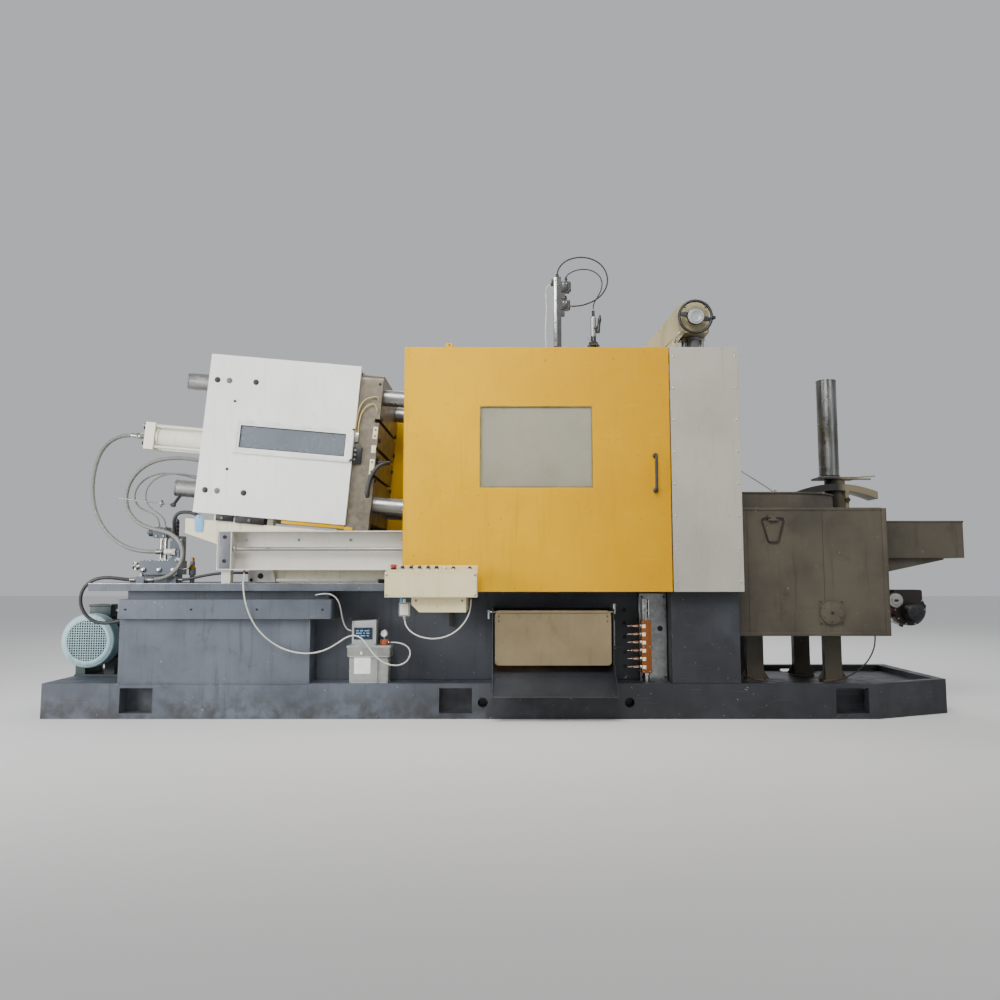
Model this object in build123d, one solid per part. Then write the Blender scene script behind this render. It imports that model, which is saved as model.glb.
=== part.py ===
from build123d import *
import math
import os

os.makedirs("parts", exist_ok=True)

# A hot chamber die casting machine, in millimetres.
# +X runs along the machine to the furnace, -Y is the operator's side, +Z is up.
# The origin is the middle of the plinth's footprint, on the floor.

# Clearances and overruns
running_fit = 0.05  # radial, a bush on its bar
loose_gap = 0.3  # a piece and its curved seat
slide_gap = 8.0  # between pieces that pass each other
overrun = 5.0  # a cutting tool past its face

# Plinth
plinth_length = 5620.0
plinth_depth = 1240.0
plinth_height = 212.0
nose_run = 525.0
nose_depth = 250.0
pan_rim = 70.0
pan_depth = 40.0
pocket_width = 200.0
pocket_height = 150.0
pocket_sill = 34.0
pocket_depth = 120.0
pocket_middle = -290.0
pocket_right = 2125.0
tow_hole = 60.0
tow_hole_left = -124.0
tow_hole_pitch = 893.0
tow_hole_depth = 90.0

# Oil tank, its lid and the drip tray over it
motor_bay = 460.0
tank_length = 1165.0
tank_height = 391.0
lid_height = 117.0
lid_overhang = 50.0
lid_reach = 141.0
lid_radius = 12.0
neck_height = 52.0
neck_setback = 30.0
tray_height = 45.0
tray_sheet = 6.0
tray_overhang = 183.0
tray_length = 1812.0

# Bed between tank and column
bed_setback = 220.0
column_width = 418.0
column_wall = 150.0
chute_wall = 40.0

# Sliding door, fixed panel and rear guard
door_right = 1027.0
door_width = 1639.0
door_height = 1511.0
door_drop = 50.0
door_depth = 30.0
door_sheet = 5.0
door_rim = 30.0
door_front = 100.0
door_gap = 6.0
door_travel = 900.0
pane_left_in = 469.0
pane_width = 693.0
pane_height = 504.0
pane_sill = 634.0
pane_frame = 22.0
pane_thickness = 8.0
panel_width = 427.0
panel_return = 220.0
guard_drop = 128.0
guard_left = -960.0
guard_front = 590.0
post_size = 60.0
track_height = 60.0
track_depth = 60.0
handle_height = 247.0
handle_width = 26.0
handle_reach = 48.0
handle_from_edge = 94.0
handle_up = 600.0
handle_radius = 16.0
carrier_width = 90.0
carrier_height = 120.0
carrier_depth = 64.0
carrier_inset = 120.0

# Guide rail
rail_margin = 243.0
rail_right = 1020.0
rail_height = 240.0
rail_depth = 100.0
rail_sheet = 6.0
rail_lift = 82.0
rail_set = 20.0
rod_diameter = 25.0
rail_end_width = 82.0
rail_post_width = 55.0
rail_post_inset = 24.0

# Clamp unit, which drops to the furnace at a slight angle
clamp_tilt = 5.0
clamp_x = -812.0
clamp_z = 1674.0
bar_diameter = 108.0
bar_half_y = 335.0
bar_half_w = 355.0
bar_left = -1280.0
bar_end_past_nut = 60.0
port_diameter = 34.0
port_length = 70.0
platen_half_y = 462.0
platen_half_w = 480.0
platen_foot = 70.0
rear_platen_left = -985.0
rear_platen_thick = 170.0
moving_platen_thick = 200.0
moving_platen_right = 0.0
fixed_platen_left = 1170.0
fixed_platen_thick = 220.0
platen_travel = 460.0
ram_overlap = 92.0
platen_radius = 40.0
nut_diameter = 190.0
nut_height = 110.0
slot_width = 24.0
slot_depth = 30.0
slot_pitch = 180.0
sprue_diameter = 120.0
cylinder_diameter = 150.0
cylinder_head = 184.0
cylinder_head_thick = 66.0
tie_rod_diameter = 20.0
ram_diameter = 90.0
ram_plate = 260.0
ram_plate_thick = 60.0

# Cover over the toggle
cover_left = -1118.0
cover_right = -148.0
cover_half_y = 490.0
cover_top = 520.0
cover_bottom = -507.0
cover_sheet = 8.0
cover_lip = 40.0
look_left = -900.0
look_right = -173.0
look_half = 97.0
look_border = 24.0
look_proud = 10.0
look_glass = 6.0

# Cream frame that carries the clamp unit
frame_left = -1560.0
frame_nose = -2020.0
frame_nose_depth = 70.0
frame_nose_root = 190.0
frame_right_past = 120.0
frame_half_y = 470.0
frame_wall = 40.0
frame_foot = 40.0
frame_rib = 20.0
way_height = 24.0
way_width = 90.0

# Chute, its flap and the hinge
chute_width = 736.0
chute_left = -62.0
chute_top = 452.0
chute_floor_back = 118.0
chute_lip = 54.0
chute_reach = 210.0
chute_sheet = 5.0
chute_cheek = 60.0
flap_width = 714.0
flap_height = 323.0
flap_thick = 8.0
flap_radius = 22.0
flap_drop = 22.0
flap_pin = 12.0

# Coolant manifold
plate_left = 853.0
plate_width = 178.0
plate_height = 540.0
plate_out = 70.0
manifold_x = 888.0
manifold_size = 60.0
manifold_bottom = 55.0
manifold_height = 321.0
manifold_stand = 20.0
valve_count = 6
valve_pitch = 50.0
valve_diameter = 14.0
valve_length = 62.0
fitting_diameter = 34.0
fitting_height = 128.0

# Lubricator
lube_x = -823.0
lube_width = 262.0
lube_depth = 150.0
lube_height = 224.0
lube_ledge = 12.0
lube_ledge_height = 66.0
lube_front = 10.0
lube_head_width = 148.0
lube_head_height = 156.0
lube_head_depth = 110.0
lube_cap = 46.0
lube_cap_height = 34.0
lube_gauge = 42.0

# Operator panel
panel_x = -687.0
panel_box_width = 536.0
panel_drop = 26.0
panel_box_height = 140.0
panel_slope = 46.0
panel_box_depth = 170.0
panel_front = 350.0
arm_left = 151.0
arm_width = 318.0
arm_height = 88.0
arm_taper = 46.0
button_count = 9
button_diameter = 26.0
button_height = 16.0
stop_diameter = 42.0
stop_height = 26.0
switch_width = 62.0
switch_height = 78.0
switch_depth = 46.0
switch_neck = 34.0
peg_width = 26.0
peg_height = 110.0

# Pump motor
motor_x = -2683.0
motor_centre_height = 225.0
motor_foot_plate = 8.0
fan_diameter = 345.0
fan_length = 120.0
fan_front = 300.0
motor_diameter = 296.0
motor_length = 320.0
motor_fin = 9.0
motor_fin_count = 28
motor_fin_depth = 14.0
motor_bell = 250.0
motor_bell_length = 110.0
pump_diameter = 170.0
pump_length = 190.0
motor_foot_width = 256.0

# Injection unit
head_left = 1225.0
head_width = 184.0
head_height = 213.0
head_bottom = 2517.0
head_half_y = 150.0
arm_thick = 190.0
column_rod = 31.0
column_half = 63.0
column_x = 1325.0
shot_cylinder = 90.0
shot_cylinder_length = 620.0
crosshead_z = 1600.0
crosshead_height = 60.0
plunger_diameter = 46.0
wheel_diameter = 240.0
wheel_rim = 20.0
wheel_hub = 118.0
wheel_hub_thick = 34.0
wheel_gap = 48.0
wheel_spoke = 34.0
wheel_spoke_thick = 14.0
wheel_knob = 26.0
wheel_x = 1305.0
wheel_z = 2610.0
spindle_diameter = 24.0

# Spray mast on the fixed platen
mast_x = 381.0
mast_width = 52.0
mast_depth = 46.0
mast_top = 2950.0
mast_lift = 118.0
mast_valve = 60.0
nozzle_x = 632.0
nozzle_body = 46.0
nozzle_top = 2710.0

# Furnace
furnace_left = 1080.0
furnace_right = 2438.0
furnace_half_y = 460.0
furnace_bottom = 487.0
furnace_height = 806.0
furnace_column_gap = 10.0
ring_left = 1110.0
ring_right = 2240.0
ring_half_y = 400.0
ring_wall = 60.0
ring_height = 105.0
pot_depth = 520.0
leg_width = 110.0
leg_depth = 60.0
leg_y = 200.0
leg_front_x = 2150.0
leg_back_x = 2070.0
leg_left_x = 1640.0
leg_foot = 40.0
chimney_x = 2325.0
chimney_y = 230.0
chimney_diameter = 138.0
chimney_wall = 4.0
chimney_stub = 259.0
chimney_length = 705.0
stub_diameter = 140.0
stub_shift = 36.0
damper_width = 278.0
damper_depth = 170.0
damper_thick = 12.0
damper_handle = 120.0
arch_left = 2060.0
arch_right = 2630.0
arch_rise = 60.0
arch_thick = 46.0
arch_depth = 190.0
arch_link = 24.0
hopper_length = 590.0
hopper_half_y = 250.0
hopper_drop = 314.0
hopper_height = 242.0
hopper_sheet = 6.0
hopper_neck = 80.0
hopper_gusset_run = 470.0
hopper_gusset_drop = 111.0
burner_length = 362.0
burner_z = 640.0
burner_y = 100.0
burner_casing = 210.0
burner_casing_thick = 110.0
burner_tube = 110.0
burner_motor = 124.0
burner_motor_length = 90.0
cover_plate = 150.0
cover_plate_thick = 6.0
cover_round = 146.0
cover_round_thick = 14.0
cover_plate_x = 2068.0
cover_plate_z = 633.0
bail_x = 1714.0
bail_top_width = 146.0
bail_bottom_width = 62.0
bail_height = 152.0
bail_bar = 9.0
bail_drop = 64.0
bail_clip = 60.0
bail_clip_height = 34.0
bail_stand = 12.0

# Valve block, its fittings and the hoses, which are placed from the tray's left end
valve_left = 207.0
valve_block_length = 241.0
valve_front = -400.0
valve_back = -215.0
valve_foot = 53.0
valve_height = 90.0
valve_foot_in = 16.0
riser_width = 80.0
riser_depth = 75.0
riser_height = 160.0
riser_from_right = 10.0
coil_diameter = 42.0
coil_height = 110.0
pilot_tube = 20.0
pilot_tube_height = 150.0
pilot_y = -240.0
pilot_width = 85.0
pilot_depth = 90.0
pilot_height = 70.0
pilot_left = 36.0
pilot_knob = 50.0
pilot_knob_reach = 40.0
nipple_diameter = 36.0
nipple_length = 55.0
nipple_y = -300.0
nipple_x = 328.0
nipple_rise = 58.0
elbow_diameter = 30.0
elbow_reach = 40.0
return_block = 50.0
return_block_x = 233.0
return_block_y = -500.0
return_block_height = 42.0
bed_block_width = 55.0
bed_block_x = 403.0
bed_block_y = -428.0
relief_diameter = 30.0
relief_height = 140.0
relief_x = 513.0
side_port_diameter = 40.0
side_port_reach = 59.0
side_port_rise = 55.0
hose_diameter = 26.0
pilot_hose_diameter = 11.0
tank_hose_diameter = 22.0
bed_hose_diameter = 18.0
lube_tube_diameter = 9.0
lube_feed_diameter = 8.0
panel_cable_diameter = 8.0
mast_cable_diameter = 10.0
mast_wire_diameter = 8.0
burner_cable_diameter = 9.0
arc_share = 0.45

# Places that follow from those sizes
left_end = -plinth_length / 2
right_end = plinth_length / 2
front = -plinth_depth / 2
back = plinth_depth / 2
tank_left = left_end + motor_bay
tank_right = tank_left + tank_length
tank_top = plinth_height + tank_height
lid_top = tank_top + lid_height
bed_top = lid_top + neck_height
deck_top = bed_top + tray_height
tray_left = tank_left - tray_overhang
tray_right = tray_left + tray_length
recess_wall = front + bed_setback
column_left = door_right + door_gap
column_right = column_left + column_width
ram_left = rear_platen_left - platen_travel - ram_overlap
cylinder_left = ram_left - overrun - cylinder_head_thick * 1.5
door_face = front - door_front
door_back = door_face + door_depth
door_left = door_right - door_width
rail_left = door_left - door_travel - rail_margin
guard_height = door_height - guard_drop
door_bottom = deck_top - door_drop
door_top = door_bottom + door_height
rail_bottom = deck_top + rail_lift
rail_top = rail_bottom + rail_height
rail_front = door_back + rail_set
rail_back = rail_front + rail_depth
rod_y = rail_front + rail_depth * 0.45
rod_z = rail_bottom + rail_height * 0.54
furnace_top = furnace_bottom + furnace_height
ring_top = furnace_top + ring_height
pot_floor = ring_top - pot_depth - ring_wall / 2
chimney_bottom = furnace_top + chimney_stub
chimney_top = chimney_bottom + chimney_length
hopper_bottom = furnace_top - hopper_drop


def block(x0, x1, y0, y1, z0, z1):
    """A box between two corners."""
    middle = Pos((x0 + x1) / 2, (y0 + y1) / 2, (z0 + z1) / 2)
    return middle * Box(x1 - x0, y1 - y0, z1 - z0)


def round_x(x0, x1, y, z, diameter):
    """A round bar along X."""
    return Pos((x0 + x1) / 2, y, z) * Rot(0, 90, 0) * Cylinder(diameter / 2, x1 - x0)


def round_y(x, y0, y1, z, diameter):
    """A round bar along Y."""
    return Pos(x, (y0 + y1) / 2, z) * Rot(90, 0, 0) * Cylinder(diameter / 2, y1 - y0)


def round_z(x, y, z0, z1, diameter):
    """An upright round bar."""
    return Pos(x, y, (z0 + z1) / 2) * Cylinder(diameter / 2, z1 - z0)


def prism_y(points, y0, y1):
    """A plate whose outline lies in the XZ plane."""
    face = Face(Wire.make_polygon([Vector(x, y0, z) for x, z in points], close=True))
    return Solid.extrude(face, Vector(0, y1 - y0, 0))


def prism_x(points, x0, x1):
    """A bar whose outline lies in the YZ plane."""
    face = Face(Wire.make_polygon([Vector(x0, y, z) for y, z in points], close=True))
    return Solid.extrude(face, Vector(x1 - x0, 0, 0))


def prism_z(points, z0, z1):
    """A plate whose outline lies in plan."""
    face = Face(Wire.make_polygon([Vector(x, y, z0) for x, y in points], close=True))
    return Solid.extrude(face, Vector(0, 0, z1 - z0))


def clamp(shape):
    """Sets a shape made along the clamp's own axes at its place and angle."""
    return Pos(clamp_x, 0, clamp_z) * Rot(0, clamp_tilt, 0) * shape


def clamp_height(x, w):
    """The height over the floor of the clamp's plane w at a place x."""
    tilt = math.radians(clamp_tilt)
    u = (x - clamp_x - w * math.sin(tilt)) / math.cos(tilt)
    return clamp_z - u * math.sin(tilt) + w * math.cos(tilt)


def save(name, *shapes):
    """Writes the solids of one sub-part."""
    solids = []
    for shape in shapes:
        solids.extend(shape.solids())
    whole = solids[0] if len(solids) == 1 else Compound(children=solids)
    whole.label = name
    export_step(whole, f"parts/{name}.step")
    print(f"{name}: {len(solids)} solids, {sum(s.volume for s in solids) / 1e9:.4f} m3")


def bed_plinth():
    outline = [
        (left_end, front),
        (right_end - nose_run, front),
        (right_end, front + nose_depth),
        (right_end, back),
        (left_end, back),
    ]
    shape = prism_z(outline, 0, plinth_height)
    pan = [
        (column_right + pan_rim, front + pan_rim),
        (right_end - nose_run - pan_rim / 2, front + pan_rim),
        (right_end - pan_rim, front + nose_depth + pan_rim / 2),
        (right_end - pan_rim, back - pan_rim),
        (column_right + pan_rim, back - pan_rim),
    ]
    shape -= prism_z(pan, plinth_height - pan_depth, plinth_height + overrun)
    for x in (tank_left + pocket_width / 2 + pocket_sill / 2, pocket_middle, pocket_right):
        for face, inner in ((front, front + pocket_depth), (back, back - pocket_depth)):
            y0, y1 = sorted((face + math.copysign(overrun, face), inner))
            shape -= block(
                x - pocket_width / 2,
                x + pocket_width / 2,
                y0,
                y1,
                pocket_sill,
                pocket_sill + pocket_height,
            )
    for x in (tow_hole_left, tow_hole_left + tow_hole_pitch):
        shape -= round_y(x, front - overrun, front + tow_hole_depth, plinth_height * 0.46, tow_hole)
    save("bed_plinth", shape)


def oil_tank():
    """The welded tank with its thick overhanging lid."""
    tank = block(tank_left, tank_right, front, back, plinth_height, tank_top)
    lid = block(
        tank_left,
        tank_right + lid_reach,
        front - lid_overhang,
        back,
        tank_top,
        lid_top,
    )
    lid = fillet(lid.edges().filter_by(Axis.Z), lid_radius)
    save("oil_tank", tank + lid)


def drip_tray():
    outer = block(tray_left, tray_right, front - lid_overhang, back, bed_top, deck_top)
    inner = block(
        tray_left + tray_sheet,
        tray_right - tray_sheet,
        front - lid_overhang + tray_sheet,
        back - tray_sheet,
        bed_top - overrun,
        deck_top - tray_sheet,
    )
    neck = block(
        tank_left + neck_setback,
        tray_right - tray_sheet,
        front - lid_overhang + tray_sheet,
        back - tray_sheet,
        bed_top,
        deck_top - tray_sheet,
    )
    save("drip_tray", outer - (inner - neck))


def machine_bed():
    """The bed between tank and column, set back from the plinth, with the casting shaft."""
    shape = block(tank_right, column_left, recess_wall, -recess_wall, plinth_height, lid_top)
    shape -= block(
        tank_right - overrun,
        tank_right + lid_reach,
        recess_wall - overrun,
        -recess_wall + overrun,
        tank_top,
        lid_top + overrun,
    )
    shape += block(
        tank_left + neck_setback,
        tank_right + lid_reach - neck_setback,
        front + neck_setback,
        back - neck_setback,
        lid_top,
        bed_top,
    )
    shape += block(tank_right, column_left, recess_wall, -recess_wall, lid_top, bed_top)
    shape += block(tray_right, column_left, rail_front, back, bed_top, deck_top)
    inner_left = chute_left + chute_sheet
    inner_right = chute_left + chute_width - chute_sheet
    shape -= block(
        inner_left,
        inner_right,
        recess_wall + chute_wall,
        -recess_wall - bed_setback,
        plinth_height + chute_floor_back,
        deck_top + overrun,
    )
    shape -= block(
        inner_left,
        inner_right,
        recess_wall - overrun,
        recess_wall + chute_wall + overrun,
        plinth_height + chute_floor_back,
        plinth_height + chute_top - chute_sheet,
    )
    save("machine_bed", shape)


def bed_column():
    """The column beside the chute, open to the right for the furnace's end."""
    outer = block(column_left, column_right, front, back, plinth_height, bed_top)
    for y0, y1 in ((rail_front, -furnace_half_y), (furnace_half_y, back)):
        outer += block(column_left, column_right, y0, y1, bed_top, deck_top)
    bay = block(
        column_left + column_wall / 5,
        column_right + overrun,
        -furnace_half_y - furnace_column_gap,
        furnace_half_y + furnace_column_gap,
        furnace_bottom - furnace_column_gap,
        deck_top + overrun,
    )
    save("bed_column", outer - bay)


def chute():
    """The tray below the flap, with a sloping floor between two cheeks."""
    base = plinth_height
    floor_top = [
        (recess_wall, base + chute_floor_back),
        (front, base + chute_floor_back * 0.35),
        (front - chute_reach, base - chute_lip),
        (front - chute_reach, base - chute_lip - chute_sheet),
        (front - chute_sheet, base - chute_lip - chute_sheet),
        (front - chute_sheet, base + loose_gap),
        (recess_wall, base + loose_gap),
    ]
    shape = prism_x(floor_top, chute_left, chute_left + chute_width)
    cheek = [
        (recess_wall, base + loose_gap),
        (front - chute_sheet, base + loose_gap),
        (front - chute_sheet, base - chute_lip - chute_sheet),
        (front - chute_reach, base - chute_lip - chute_sheet),
        (front - chute_reach, base - chute_lip + chute_cheek / 4),
        (front - chute_sheet, base + chute_top * 0.3),
        (front - chute_sheet, base + chute_top),
        (recess_wall, base + chute_top),
    ]
    for x in (chute_left - chute_sheet, chute_left + chute_width):
        shape += prism_x(cheek, x, x + chute_sheet)
    header = block(
        chute_left,
        chute_left + chute_width,
        recess_wall - chute_cheek,
        recess_wall,
        base + chute_top - chute_sheet,
        base + chute_top,
    )
    shape += header
    y, z = flap_place()
    shape -= round_x(
        chute_left - chute_sheet - overrun,
        chute_left + chute_width + chute_sheet + overrun,
        y,
        z,
        flap_pin + running_fit * 2,
    )
    save("chute", shape)


def flap_place():
    """The hinge line of the flap: its Y and Z."""
    return front + flap_pin, plinth_height + chute_top - flap_drop


def chute_flap():
    y, z = flap_place()
    left = chute_left + (chute_width - flap_width) / 2
    face = Pos(left + flap_width / 2, y, z - flap_height / 2) * Rot(90, 0, 0)
    plate = extrude(
        face * RectangleRounded(flap_width, flap_height, flap_radius),
        flap_thick / 2,
        both=True,
    )
    knuckle = round_x(left + flap_radius, left + flap_width - flap_radius, y, z, flap_pin * 1.8)
    pins = round_x(chute_left - chute_sheet * 2, left + flap_radius, y, z, flap_pin)
    right = chute_left + chute_width + chute_sheet * 2
    pins += round_x(left + flap_width - flap_radius, right, y, z, flap_pin)
    save("chute_flap", plate + knuckle + pins)


def coolant_manifold():
    plate_y = recess_wall - plate_out
    bar_back = plate_y - manifold_stand
    x0 = manifold_x - manifold_size / 2
    z0 = plinth_height + manifold_bottom
    bar = block(x0, x0 + manifold_size, bar_back - manifold_size, bar_back, z0, z0 + manifold_height)
    middle_y = bar_back - manifold_size / 2
    shape = bar + round_z(
        manifold_x,
        middle_y,
        z0 + manifold_height,
        z0 + manifold_height + fitting_height,
        fitting_diameter,
    )
    shape += round_z(manifold_x, middle_y, plinth_height, z0, fitting_diameter)
    first = z0 + (manifold_height - (valve_count - 1) * valve_pitch) / 2
    for n in range(valve_count):
        z = first + n * valve_pitch
        shape += round_x(x0 - valve_length, x0, middle_y, z, valve_diameter)
        shape += round_x(
            x0 - valve_length * 0.6,
            x0 - valve_length * 0.3,
            middle_y,
            z,
            valve_diameter * 1.5,
        )
    shape += block(
        manifold_x - manifold_stand,
        manifold_x + manifold_stand,
        bar_back,
        plate_y,
        z0 + manifold_height / 2 - manifold_size,
        z0 + manifold_height / 2 + manifold_size,
    )
    save("coolant_manifold", shape)
    plate = block(
        plate_left,
        plate_left + plate_width,
        plate_y,
        recess_wall,
        plinth_height,
        plinth_height + plate_height,
    )
    plate = fillet(plate.edges().filter_by(Axis.Z), lid_radius / 2)
    save("manifold_plate", plate)


def lubricator():
    x0 = lube_x - lube_width / 2
    y0 = front + lube_front
    z0 = plinth_height
    tank = block(
        x0 + lube_ledge,
        x0 + lube_width - lube_ledge,
        y0 + lube_ledge,
        y0 + lube_depth - lube_ledge,
        z0,
        z0 + lube_height - lube_ledge_height,
    )
    top = block(
        x0,
        x0 + lube_width,
        y0,
        y0 + lube_depth,
        z0 + lube_height - lube_ledge_height,
        z0 + lube_height,
    )
    top = fillet(top.edges().filter_by(Axis.Z), lube_ledge)
    tank = fillet(tank.edges().filter_by(Axis.Z), lube_ledge)
    z1 = z0 + lube_height
    middle = y0 + lube_depth / 2
    head = prism_y(
        [
            (x0 + lube_ledge * 2, z1),
            (x0 + lube_ledge * 2 + lube_head_width, z1),
            (x0 + lube_ledge * 2 + lube_head_width, z1 + lube_head_height),
            (x0 + lube_ledge * 2, z1 + lube_head_height * 0.96),
        ],
        middle - lube_head_depth / 2,
        middle + lube_head_depth / 2,
    )
    cap_x = x0 + lube_width - lube_cap
    cap = round_z(cap_x, middle, z1, z1 + lube_cap_height, lube_cap)
    stem = round_z(
        cap_x,
        middle,
        z1 + lube_cap_height,
        z1 + lube_cap_height + lube_gauge / 2,
        lube_gauge / 3,
    )
    gauge = round_y(
        cap_x,
        middle - lube_gauge / 3,
        middle + lube_gauge / 3,
        z1 + lube_cap_height + lube_gauge * 0.9,
        lube_gauge,
    )
    save("lubricator", tank + top + head + cap + stem + gauge)


def operator_panel():
    """A pendant box with a sloping button face, carried by a tapered arm."""
    y0 = front - panel_front
    y1 = y0 + panel_box_depth
    z0 = door_bottom - panel_drop
    z1 = z0 + panel_box_height
    x1 = panel_x + panel_box_width
    outline = [(y0, z0), (y1, z0), (y1, z1 + panel_slope), (y0, z1)]
    box = prism_x(outline, panel_x, x1)
    box = fillet(box.edges().filter_by(Axis.Z), door_sheet)
    arm = prism_y(
        [
            (panel_x + arm_left, z0),
            (panel_x + arm_left, z0 - arm_height / 2),
            (panel_x + arm_left + arm_taper, z0 - arm_height),
            (panel_x + arm_left + arm_width, z0 - arm_height),
            (panel_x + arm_left + arm_width, z0),
        ],
        y0 + panel_box_depth * 0.35,
        recess_wall,
    )
    slope = math.degrees(math.atan2(panel_slope, panel_box_depth))
    pitch = panel_box_width / (button_count + 1)
    controls = []
    for n in range(button_count):
        diameter = stop_diameter if n == 0 else button_diameter
        height = stop_height if n == 0 else button_height
        seat = Pos(panel_x + pitch * (n + 1), (y0 + y1) / 2, z1 + panel_slope / 2) * Rot(slope, 0, 0)
        stem = seat * Pos(0, 0, height / 2) * Cylinder(diameter * 0.3, height)
        cap = seat * Pos(0, 0, height * 0.75) * Cylinder(diameter / 2, height / 2)
        controls.append(stem + cap)
    sx = panel_x + arm_left / 2
    sy = y0 + panel_box_depth / 2
    neck = block(sx, sx + switch_width * 0.6, sy, sy + switch_depth / 2, z0 - switch_neck, z0)
    body = block(
        sx,
        sx + switch_width,
        sy,
        sy + switch_depth,
        z0 - switch_neck - switch_height,
        z0 - switch_neck,
    )
    body = fillet(body.edges().filter_by(Axis.Y), door_sheet)
    save("panel_controls", *controls, neck + body)
    px = panel_x + arm_left + arm_width * 0.62
    peg = block(
        px,
        px + peg_width,
        recess_wall - peg_width,
        recess_wall,
        z0 - arm_height - peg_height,
        z0 - arm_height,
    )
    save("operator_panel", box + arm + peg)


def door_rail():
    """An open channel with the guide rod inside, on posts over the tray and deck."""
    outer = block(rail_left, rail_right, rail_front, rail_back, rail_bottom, rail_top)
    inner = block(
        rail_left + rail_sheet,
        rail_right - rail_sheet,
        rail_front - overrun,
        rail_back - rail_sheet,
        rail_bottom + rail_sheet,
        rail_top - rail_sheet,
    )
    channel = outer - inner
    for x in (rail_left + rail_post_inset, tray_right + rail_post_width, rail_right - rail_post_width * 2):
        channel += block(
            x,
            x + rail_post_width,
            rail_front + rail_set * 1.5,
            rail_back,
            deck_top,
            rail_bottom,
        )
    for x in (rail_left + rail_sheet, rail_right - rail_sheet - rail_end_width):
        end = block(
            x,
            x + rail_end_width,
            rail_front + rail_sheet,
            rail_back - rail_sheet,
            rail_bottom + rail_sheet,
            rail_top - rail_sheet,
        )
        end -= round_x(
            x - overrun,
            x + rail_end_width + overrun,
            rod_y,
            rod_z,
            rod_diameter + running_fit * 2,
        )
        channel += end
    save("door_rail", channel)
    rod = round_x(rail_left + rail_sheet * 2, rail_right - rail_sheet * 2, rod_y, rod_z, rod_diameter)
    save("guide_rod", rod)


def sliding_door():
    outer = block(door_left, door_right, door_face, door_back, door_bottom, door_top)
    inner = block(
        door_left + door_rim,
        door_right - door_rim,
        door_face + door_sheet,
        door_back + overrun,
        door_bottom + door_rim,
        door_top - door_rim,
    )
    pane_left = door_left + pane_left_in
    pane_bottom = door_bottom + pane_sill
    frame = block(
        pane_left - pane_frame,
        pane_left + pane_width + pane_frame,
        door_face + door_sheet,
        door_back,
        pane_bottom - pane_frame,
        pane_bottom + pane_height + pane_frame,
    )
    hole = block(
        pane_left,
        pane_left + pane_width,
        door_face - overrun,
        door_back + overrun,
        pane_bottom,
        pane_bottom + pane_height,
    )
    door = outer - inner + frame - hole
    lug = block(
        door_left + door_width * 0.155,
        door_left + door_width * 0.182,
        door_face + door_sheet,
        door_back,
        door_top,
        door_top + handle_width,
    )
    pane_y = door_face + door_depth * 0.4
    pane = block(
        pane_left,
        pane_left + pane_width,
        pane_y,
        pane_y + pane_thickness,
        pane_bottom,
        pane_bottom + pane_height,
    )
    save("door_window", pane)
    grip_x = door_right - handle_from_edge
    z0 = door_bottom + handle_up
    z1 = z0 + handle_height
    y1 = door_face - handle_reach
    path = FilletPolyline(
        [
            (grip_x, door_face, z0 + handle_radius),
            (grip_x, y1, z0 + handle_radius),
            (grip_x, y1, z1 - handle_radius),
            (grip_x, door_face, z1 - handle_radius),
        ],
        radius=handle_radius,
    )
    start = Plane(origin=path @ 0, z_dir=path % 0)
    grip = sweep(start * Circle(handle_width / 3), path)
    for z in (z0 + handle_radius, z1 - handle_radius):
        grip += round_y(grip_x, door_face - door_sheet, door_face, z, handle_width)
    save("door_handle", grip)
    door += lug
    for x in (door_left + carrier_inset, door_right - carrier_inset - carrier_width):
        body = block(
            x,
            x + carrier_width,
            door_face + door_sheet,
            rod_y + carrier_depth / 2,
            rod_z - carrier_height / 2,
            rod_z + carrier_height / 2,
        )
        body -= round_x(
            x - overrun,
            x + carrier_width + overrun,
            rod_y,
            rod_z,
            rod_diameter + running_fit * 2,
        )
        door += body
    save("door_panel", door)


def fixed_guards():
    """The white panel beside the door, the rear guard and the posts and track."""
    x0 = door_right + door_gap
    x1 = x0 + panel_width
    outer = block(x0, x1, door_face, door_back, door_bottom, door_top)
    inner = block(
        x0 + door_rim,
        x1 - door_rim,
        door_face + door_sheet,
        door_back + overrun,
        door_bottom + door_rim,
        door_top - door_rim,
    )
    side = block(x1 - door_sheet, x1, door_back, door_back + panel_return, deck_top, door_top)
    foot = block(x0, x1 - door_sheet, door_back, front, deck_top, deck_top + door_rim)
    save("fixed_panel", outer - inner + side + foot)
    guard_back = guard_front + door_depth
    guard = block(guard_left, x1, guard_front, guard_back, deck_top, deck_top + guard_height)
    hollow = block(
        guard_left + door_rim,
        x1 - door_rim,
        guard_front - overrun,
        guard_back - door_sheet,
        deck_top + door_rim,
        deck_top + guard_height - door_rim,
    )
    track_y = door_back + slide_gap
    post_x = x1 - door_sheet - post_size
    track = block(
        door_left,
        post_x,
        track_y,
        track_y + track_depth,
        door_top - track_height - door_rim,
        door_top - door_rim,
    )
    post = block(
        post_x,
        post_x + post_size,
        track_y,
        track_y + track_depth,
        deck_top + door_rim,
        door_top - door_rim,
    )
    stay_x = x0 + post_size
    stay = block(
        stay_x,
        stay_x + post_size,
        track_y + track_depth,
        guard_front,
        deck_top + guard_height - track_height,
        deck_top + guard_height,
    )
    upright = block(
        stay_x,
        stay_x + post_size,
        track_y,
        track_y + track_depth,
        deck_top + door_rim,
        door_top - track_height - door_rim,
    )
    save("rear_guard", guard - hollow)
    save("guard_frame", track + post + stay + upright)


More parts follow.
